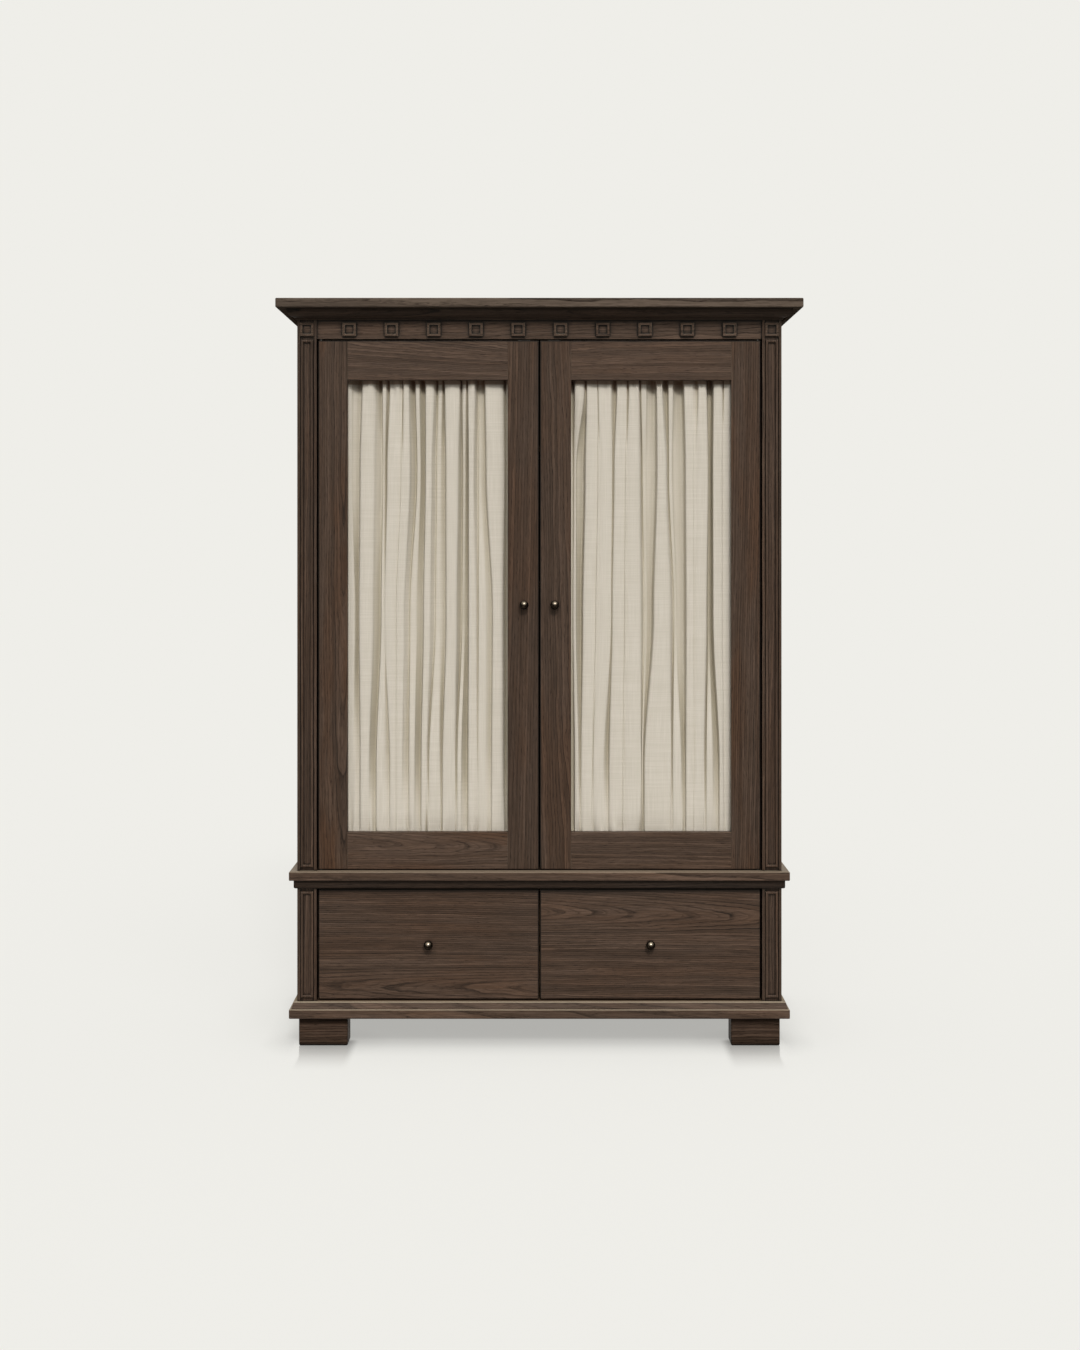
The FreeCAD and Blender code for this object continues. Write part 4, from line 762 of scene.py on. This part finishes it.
RIGHT_FOLD_SHARES = (
    ((-0.02, -0.02, -0.02, -0.02), (0.004, 0.008, 0.010, 0.012),
     (0.5, 0.5, 0.2, 0.5), (0.80, 0.70, 0.25, 0.60)),
    ((0.024, 0.018, 0.014, 0.024), (0.084, 0.032, 0.030, 0.044),
     (0.0, 0.55, 0.1, 0.0), (0.90, 1.00, 1.00, 1.00)),
    ((0.102, 0.090, 0.074, 0.064), (0.161, 0.168, 0.155, 0.130),
     (0.0, 0.0, 0.0, 0.0), (0.35, 0.05, 0.02, 0.20)),
    ((0.172, 0.180, 0.165, 0.140), (0.252, 0.252, 0.246, 0.205),
     (0.0, 0.0, 0.0, 0.0), (1.00, 1.00, 0.80, 0.70)),
    ((0.290, 0.272, 0.260, 0.240), (0.346, 0.340, 0.335, 0.325),
     (0.0, 0.0, 0.0, 0.0), (0.45, 0.05, 0.02, 0.15)),
    ((0.365, 0.350, 0.345, 0.335), (0.426, 0.430, 0.436, 0.436),
     (0.0, 0.0, 0.0, 0.0), (0.90, 0.90, 0.75, 0.55)),
    ((0.440, 0.450, 0.462, 0.445), (0.474, 0.472, 0.480, 0.451),
     (0.2, 0.65, 0.75, 0.3), (0.85, 0.90, 0.95, 0.55)),
    ((0.539, 0.541, 0.518, 0.460), (0.570, 0.594, 0.622, 0.622),
     (0.0, 0.0, 0.0, 0.0), (0.80, 0.70, 0.85, 0.90)),
    ((0.612, 0.616, 0.650, 0.640), (0.640, 0.636, 0.664, 0.690),
     (0.1, 0.45, 0.75, 0.05), (0.95, 0.95, 0.95, 0.75)),
    ((0.709, 0.719, 0.724, 0.722), (0.763, 0.765, 0.770, 0.770),
     (0.0, 0.0, 0.0, 0.0), (0.40, 0.05, 0.02, 0.10)),
    ((0.800, 0.785, 0.780, 0.778), (0.852, 0.860, 0.850, 0.830),
     (0.0, 0.0, 0.0, 0.0), (1.00, 0.80, 0.90, 0.70)),
    ((0.863, 0.868, 0.864, 0.850), (0.870, 0.874, 0.872, 0.890),
     (0.9, 0.8, 0.8, 0.05), (1.00, 1.00, 1.00, 0.75)),
    ((0.894, 0.890, 0.892, 0.932), (0.946, 0.940, 0.940, 0.950),
     (0.0, 0.0, 0.0, 0.0), (0.35, 0.05, 0.02, 0.20)),
    ((0.960, 0.952, 0.952, 0.962), (1.020, 1.020, 1.020, 1.020),
     (0.1, 0.1, 0.1, 0.1), (0.00, 0.00, 0.00, 0.00)),
)

# Folds
FOLD_DEPTH = 0.034
FOLD_TURN_SHARE = 0.006
FOLD_TURN_GAP_SHARE = 0.25
CREST_PLACE_SHARES = (0.0, 0.10, 0.42, 0.80, 1.0)
CREST_DROP_SHARES = (0.7, 0.35, 0.0, 0.5, 1.25)
CROWN_SHARE = 0.12
MOST_CROWN = 0.006
VALLEY_FALL_SHARES = (0.42, 0.74, 1.0)
DEEPEST_GAP_SHARE = 1.5
TOP_PLUNGE_SHARE = 0.2
TOP_PLUNGE_REACH_SHARE = 0.012
HEM_START_SHARE = 0.78
HEM_SHALLOW_SHARE = 0.6

# Cloth
CLOTH_THICKNESS = 0.0006
CLOTH_FRONT_GAP = 0.0015
CLOTH_SIDE_GAP = 0.0025
CLOTH_BULGE = 0.004
BULGE_EDGE_SHARE = 0.05
BULGE_END_SHARE = 0.04
EDGE_TUCK_SHARE = 0.012
STEPS_PER_SPAN = 3
CLOTH_ROWS = 96

# Casings on the rods, with ruffles and small tucks
ROD_BACKSET = 0.015
ROD_INSET = 0.045
ROD_RADIUS = 0.004
CASING_GAP = 0.001
CASING_STEPS = 8
SEAM_DROP = 0.020
SEAM_RUFFLE_SHARE = 0.7
SEAM_LIFT_SHARE = 1.5
GATHER_RISE = 0.022
RUFFLE_COUNT = 34
RUFFLE_DEPTH = 0.008
RUFFLE_SWAYS = ((1.8, 17.0), (1.2, 41.0))
RUFFLE_SWELL_SHARE = 0.25
RUFFLE_SWELL_RATE = 29.0
DART_COUNT = 30
DART_DEPTH = 0.006
DART_SIZE_SHARES = (0.4, 1.0)
DART_WIDTH = 0.007
DART_RISE = (0.02, 0.07)


def eased(share):
    return share * share * (3 - 2 * share)


def at_height(values, height_share):
    """A value between those of the key heights, eased so that folds run smoothly down the cloth."""
    for index in range(len(KEY_HEIGHT_SHARES) - 1):
        low, high = KEY_HEIGHT_SHARES[index:index + 2]
        if height_share <= high:
            share = eased((height_share - low) / (high - low))
            return values[index] + (values[index + 1] - values[index]) * share
    return values[-1]


def crest_corners(left, right, back, width):
    """A rounded crest, its middle further out than its edges."""
    crown = min(CROWN_SHARE * (right - left) * width, MOST_CROWN)
    places = [left + (right - left) * share for share in CREST_PLACE_SHARES]
    return [(place, back + crown * drop) for place, drop in zip(places, CREST_DROP_SHARES)]


def fold_corners(folds, height_share, width):
    """The corners of the folded line: a share of the opening's width, and how far back."""
    rows = [[at_height(values, height_share) for values in fold] for fold in folds]
    plunge = 1 + TOP_PLUNGE_SHARE * math.exp(-height_share / TOP_PLUNGE_REACH_SHARE)
    hem_share = max(height_share - HEM_START_SHARE, 0.0) / (1 - HEM_START_SHARE)
    fullness = 1 - HEM_SHALLOW_SHARE * eased(hem_share)
    corners = []
    for (left, right, back, depth), following in zip(rows, rows[1:] + [None]):
        start = back * FOLD_DEPTH
        corners += crest_corners(left, right, start, width)
        if following:
            gap = following[0] - right
            turn = min(FOLD_TURN_SHARE, gap * FOLD_TURN_GAP_SHARE)
            farther_crest = max(back, following[2])
            deepest = gap * width * DEEPEST_GAP_SHARE + farther_crest * FOLD_DEPTH
            floor = min(max(depth, farther_crest) * FOLD_DEPTH * plunge, deepest)
            fall = (floor - start) * fullness
            places = (right + turn, right + gap / 2, right + gap - turn)
            corners += [(place, start + fall * share) for place, share in zip(places, VALLEY_FALL_SHARES)]
    return np.array(corners)


def smooth_line(corners):
    """A smooth curve that runs along the corners' straight lines, with the same count of points on each."""
    steps = np.linspace(0, 1, STEPS_PER_SPAN, endpoint=False)[:, None]
    spans = []
    for before, here, after in zip(corners, corners[1:], corners[2:]):
        bend = before - 2 * here + after
        spans.append((bend * steps ** 2 + 2 * (here - before) * steps + before + here) / 2)
    return np.concatenate([corners[:1], *spans, corners[-1:]])


class Darts:
    """Small tucks that start at a gathered edge and fade out along the cloth."""

    def __init__(self, name, cloth_width):
        dice = random.Random(name)
        self.tucks = []
        for _ in range(DART_COUNT):
            place = dice.uniform(0, cloth_width)
            rise = dice.uniform(*DART_RISE)
            side = dice.choice((-1, 1))
            self.tucks.append((place, rise, side * DART_DEPTH * dice.uniform(*DART_SIZE_SHARES)))

    def depth(self, places, distance):
        total = np.zeros_like(places)
        for place, rise, size in self.tucks:
            total += size * np.exp(-((places - place) / DART_WIDTH) ** 2) * math.exp(-distance / rise)
        return total


class Curtain:
    """One door's curtain, from the seam of the lower casing up to the seam of the upper one."""

    def __init__(self, side, folds):
        solid_low, solid_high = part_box(side + "_curtain")
        rail_low, rail_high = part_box(side + "_top_rail")
        sill_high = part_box(side + "_bottom_rail")[1]
        stiles = [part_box(side + "_hinge_stile"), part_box(side + "_meeting_stile")]
        left_stile, right_stile = sorted(stiles, key=lambda corners: corners[0][0])
        self.folds = folds
        self.left = left_stile[1][0]
        self.width = right_stile[0][0] - self.left
        self.front = rail_high[1] + CLOTH_FRONT_GAP
        self.rod_place = rail_high[1] + ROD_BACKSET
        self.opening_top = rail_low[2]
        self.opening_bottom = sill_high[2]
        self.top_rod = self.opening_top + ROD_INSET
        self.bottom_rod = self.opening_bottom - ROD_INSET
        self.left_edge = solid_low[0] + CLOTH_SIDE_GAP
        self.right_edge = solid_high[0] - CLOTH_SIDE_GAP
        self.places = self.flat_places()
        self.cloth_width = self.places[-1]
        self.ruffle_across, self.ruffle_off = self.ruffles()
        self.seam_back = self.rod_place - RUFFLE_DEPTH / 2 + self.ruffle_off * SEAM_RUFFLE_SHARE
        self.top_darts = Darts(side + "_top", self.cloth_width)
        self.bottom_darts = Darts(side + "_bottom", self.cloth_width)

    def folded_row(self, height_share):
        """The open folds at one height: across and front to back, bulging a little into the opening."""
        line = smooth_line(fold_corners(self.folds, height_share, self.width))
        from_side = np.clip(np.minimum(line[:, 0], 1 - line[:, 0]) / BULGE_EDGE_SHARE, 0.0, 1.0)
        from_end = min(height_share, 1 - height_share) / BULGE_END_SHARE
        bulge = CLOTH_BULGE * eased(from_side) * eased(min(from_end, 1.0))
        tuck = np.clip(np.maximum(-line[:, 0], line[:, 0] - 1) / EDGE_TUCK_SHARE, 0.0, 1.0)
        back = line[:, 1] * (1 - eased(tuck)) - bulge
        return self.left + line[:, 0] * self.width, self.front + back

    def flat_places(self):
        """Where each column lies across the flat cut, measured along the folds halfway down."""
        steps = np.diff(np.stack(self.folded_row(1 / 2), axis=1), axis=0)
        return np.concatenate([[0.0], np.cumsum(np.linalg.norm(steps, axis=1))])

    def ruffles(self):
        """The tight gathers on a rod: across, and how far they stand off it."""
        share = self.places / self.cloth_width
        across = self.left_edge + share * (self.right_edge - self.left_edge)
        turn = share * RUFFLE_COUNT * math.tau
        for size, rate in RUFFLE_SWAYS:
            turn = turn + size * np.sin(share * rate)
        swell = 1 - RUFFLE_SWELL_SHARE + RUFFLE_SWELL_SHARE * np.sin(share * RUFFLE_SWELL_RATE)
        return across, RUFFLE_DEPTH * (1 + np.sin(turn)) / 2 * swell

    def sheet_row(self, height):
        """The open cloth at one height: across and front to back."""
        share = (self.opening_top - height) / (self.opening_top - self.opening_bottom)
        across, back = self.folded_row(min(max(share, 0.0), 1.0))
        back = back + self.top_darts.depth(self.places, max(self.opening_top - height, 0.0))
        back += self.bottom_darts.depth(self.places, max(height - self.opening_bottom, 0.0))
        to_rod = min(self.top_rod - height, height - self.bottom_rod) - SEAM_DROP
        gathered = eased(1 - min(max(to_rod / GATHER_RISE, 0.0), 1.0))
        across = across + (self.ruffle_across - across) * gathered
        back += (self.seam_back - back) * gathered
        behind_wood = (share < 0) | (share > 1) | (across < self.left) | (across > self.left + self.width)
        return across, np.where(behind_wood, np.maximum(back, self.front), back)

    def casing_rows(self, rod_height, upward):
        """The cloth round one rod, over to the seam behind it. upward is 1 at the top rod, -1 at the other."""
        across = self.ruffle_across
        reach = ROD_RADIUS + CASING_GAP + self.ruffle_off
        rows = []
        for step in range(1, CASING_STEPS + 1):
            turn = math.pi * step / (CASING_STEPS + 1)
            back = self.rod_place - reach * math.cos(turn)
            height = rod_height + upward * reach * math.sin(turn)
            rows.append(np.stack([across, back, height], axis=1))
        seam_height = np.full_like(across, rod_height - upward * SEAM_DROP)
        behind = np.stack([across, self.seam_back + CLOTH_THICKNESS * SEAM_LIFT_SHARE, seam_height], axis=1)
        halfway = (rows[-1] + behind) / 2
        return rows + [halfway, behind]

    def points(self):
        """The cloth's points as rows, bottom to top, and how far up the flat cut each row lies."""
        rows = self.casing_rows(self.bottom_rod, -1)[::-1]
        heights = np.linspace(self.bottom_rod + SEAM_DROP, self.top_rod - SEAM_DROP, CLOTH_ROWS)
        for height in heights:
            across, back = self.sheet_row(float(height))
            rows.append(np.stack([across, back, np.full_like(across, height)], axis=1))
        rows += self.casing_rows(self.top_rod, 1)
        grid = np.array(rows)
        climbs = np.linalg.norm(np.diff(grid, axis=0), axis=2).mean(axis=1)
        levels = np.concatenate([[0.0], np.cumsum(climbs)])
        return grid, levels


def grid_mesh(name, grid, places, levels):
    """A mesh of quads over rows of points, with the flat cut as its map."""
    rows, columns = grid.shape[:2]
    mesh = bpy.data.meshes.new(name)
    faces = []
    for row in range(rows - 1):
        for column in range(columns - 1):
            corner = row * columns + column
            faces.append((corner, corner + 1, corner + columns + 1, corner + columns))
    mesh.from_pydata(grid.reshape(-1, 3).tolist(), [], faces)
    flat_map = mesh.uv_layers.new(name="cloth")
    loops = np.empty(len(mesh.loops), dtype=np.int32)
    mesh.loops.foreach_get("vertex_index", loops)
    flat = np.stack([places[loops % columns], levels[loops // columns]], axis=1)
    flat_map.data.foreach_set("uv", flat.astype(np.float32).ravel())
    mesh.polygons.foreach_set("use_smooth", np.ones(len(mesh.polygons), dtype=bool))
    return mesh


def hang_curtain(side, folds, material):
    """Makes one door's curtain and hangs it on the rods in place of its plain solid."""
    curtain = Curtain(side, folds)
    grid, levels = curtain.points()
    mesh = grid_mesh(side + "_gathered_curtain", grid, curtain.places, levels)
    piece = bpy.data.objects.new(mesh.name, mesh)
    bpy.context.scene.collection.objects.link(piece)
    mesh.materials.append(material)
    thickness = piece.modifiers.new("thickness", "SOLIDIFY")
    thickness.thickness = CLOTH_THICKNESS
    thickness.offset = 0.0
    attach(piece, side + "_door")
    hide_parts(side + "_curtain")


# Stage
def even_floor_colour():
    """The floor's own colour that shows as the backdrop's in the open, under all the lights together."""
    from_above = HORIZON_STRENGTH + (OVERHEAD_STRENGTH - HORIZON_STRENGTH) * 2 / 3
    from_key = KEY_STRENGTH * math.sin(KEY_ELEVATION) / math.pi
    from_crisp = CRISP_STRENGTH * math.sin(CRISP_ELEVATION) / math.pi
    arriving = [a * from_above + k * (from_key + from_crisp) for a, k in zip(AMBIENT_COLOUR, KEY_COLOUR)]
    return tuple(part / light for part, light in zip(BACKDROP_COLOUR, arriving))


def contact_shade(graph):
    """Dark on the floor close to the cabinet, in a near and a far reach."""
    shades = []
    for reach, share in zip(CONTACT_REACHES, CONTACT_SHARES):
        shades.append(graph.math("MULTIPLY_ADD", graph.openness(reach), share, 1 - share))
    return graph.math("MULTIPLY", *shades)


def feet_gloss(graph):
    """How far the floor mirrors: only under the front feet and before them, fading away from them."""
    low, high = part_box("front_feet")
    inner = high[0] - FOOT_WIDTH
    across, depth, _ = graph.split(graph.place())
    beside = graph.math("ABSOLUTE", across)
    inward = graph.span(beside, inner - FLOOR_GLOSS_EDGE, inner, 0.0, FLOOR_GLOSS_SHARE)
    outward = graph.span(beside, high[0], high[0] + FLOOR_GLOSS_EDGE, 1.0, 0.0)
    forward = graph.span(depth, low[1] - FLOOR_GLOSS_REACH, low[1])
    backward = graph.span(depth, high[1] - FLOOR_GLOSS_EDGE, high[1], 1.0, 0.0)
    sideways = graph.math("MULTIPLY", inward, outward)
    return graph.math("MULTIPLY", sideways, graph.math("MULTIPLY", forward, backward))


def floor_finish():
    """A pale finish that takes the cabinet's shadow and otherwise has the backdrop's colour."""
    material, graph = new_material("pale_floor")
    even_colour = even_floor_colour()
    bounce_colour = tuple(part * FLOOR_BOUNCE_SHARE for part in even_colour)
    seen = graph.seen_directly()
    lit = graph.add("ShaderNodeBsdfDiffuse")
    graph.feed(lit.inputs["Color"], graph.blend(seen, bounce_colour, even_colour))
    plain = graph.add("ShaderNodeEmission")
    graph.feed(plain.inputs["Color"], BACKDROP_COLOUR)
    graph.feed(plain.inputs["Strength"], contact_shade(graph))
    plain_share = graph.math("MULTIPLY", seen, 1 - FLOOR_SHADOW_SHARE)
    matt = graph.mixed(plain_share, lit.outputs[0], plain.outputs[0])
    gloss = graph.add("ShaderNodeBsdfGlossy", distribution="MULTI_GGX")
    graph.feed(gloss.inputs["Color"], WHITE)
    gloss.inputs["Roughness"].default_value = FLOOR_ROUGHNESS
    graph.show(graph.mixed(graph.math("MULTIPLY", seen, feet_gloss(graph)), matt, gloss.outputs[0]))
    return material


def make_floor():
    half = FLOOR_SIZE / 2
    mesh = bpy.data.meshes.new("floor")
    corners = [(-half, -half, 0.0), (half, -half, 0.0), (half, half, 0.0), (-half, half, 0.0)]
    mesh.from_pydata(corners, [], [(0, 1, 2, 3)])
    floor = bpy.data.objects.new("floor", mesh)
    bpy.context.scene.collection.objects.link(floor)
    mesh.materials.append(floor_finish())


def make_world():
    """Soft light from all round, strongest from above, and a pale backdrop where it is seen directly."""
    world = bpy.data.worlds.new("studio")
    world.use_nodes = True
    bpy.context.scene.world = world
    graph = Graph(world.node_tree)
    upward = graph.math("MAXIMUM", graph.split(graph.place("Generated"))[2], 0.0)
    rise = OVERHEAD_STRENGTH - HORIZON_STRENGTH
    ambient = graph.add("ShaderNodeBackground")
    graph.feed(ambient.inputs["Color"], AMBIENT_COLOUR)
    graph.feed(ambient.inputs["Strength"], graph.math("MULTIPLY_ADD", upward, rise, HORIZON_STRENGTH))
    backdrop = graph.add("ShaderNodeBackground")
    graph.feed(backdrop.inputs["Color"], BACKDROP_COLOUR)
    shown = graph.mixed(graph.seen_directly(), ambient.outputs[0], backdrop.outputs[0])
    graph.show(shown, "ShaderNodeOutputWorld")


def make_light(name, strength, elevation, spread):
    """A light from above and in front, as broad as its spread."""
    lamp = bpy.data.lights.new(name, "SUN")
    lamp.energy = strength
    lamp.color = KEY_COLOUR
    lamp.angle = spread
    light = bpy.data.objects.new(name, lamp)
    light.rotation_euler = (math.pi / 2 - elevation, 0.0, KEY_SIDE)
    bpy.context.scene.collection.objects.link(light)


def make_camera():
    """A level camera whose frame is shifted down, as the photograph's is."""
    data = bpy.data.cameras.new("camera")
    data.sensor_width = SENSOR_SIZE / MILLI
    data.lens = FOCAL_PIXELS * data.sensor_width / IMAGE_HEIGHT
    data.shift_x = (IMAGE_WIDTH / 2 - CENTRE_COLUMN) / IMAGE_HEIGHT
    data.shift_y = (HORIZON_ROW - IMAGE_HEIGHT / 2) / IMAGE_HEIGHT
    camera = bpy.data.objects.new("camera", data)
    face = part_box("upper_pilaster_left")[0][1]
    camera.location = (0.0, face - CAMERA_REACH, CAMERA_HEIGHT)
    camera.rotation_euler = (math.pi / 2, 0.0, 0.0)
    bpy.context.scene.collection.objects.link(camera)
    bpy.context.scene.camera = camera


dress_boards(STAINED_GRAIN, STAIN, STAIN_ROUGHNESS)
dress_boards(INNER_GRAIN, INNER, INNER_ROUGHNESS)
dress(BRONZE_NODES, bronze())
dress(STEEL_NODES, steel())
linen_material = linen()
hang_curtain("left", LEFT_FOLD_SHARES, linen_material)
hang_curtain("right", RIGHT_FOLD_SHARES, linen_material)
make_floor()
make_world()
make_light("key_light", KEY_STRENGTH, KEY_ELEVATION, KEY_SPREAD)
make_light("crisp_light", CRISP_STRENGTH, CRISP_ELEVATION, CRISP_SPREAD)
make_camera()
bpy.context.scene.view_settings.view_transform = "Standard"
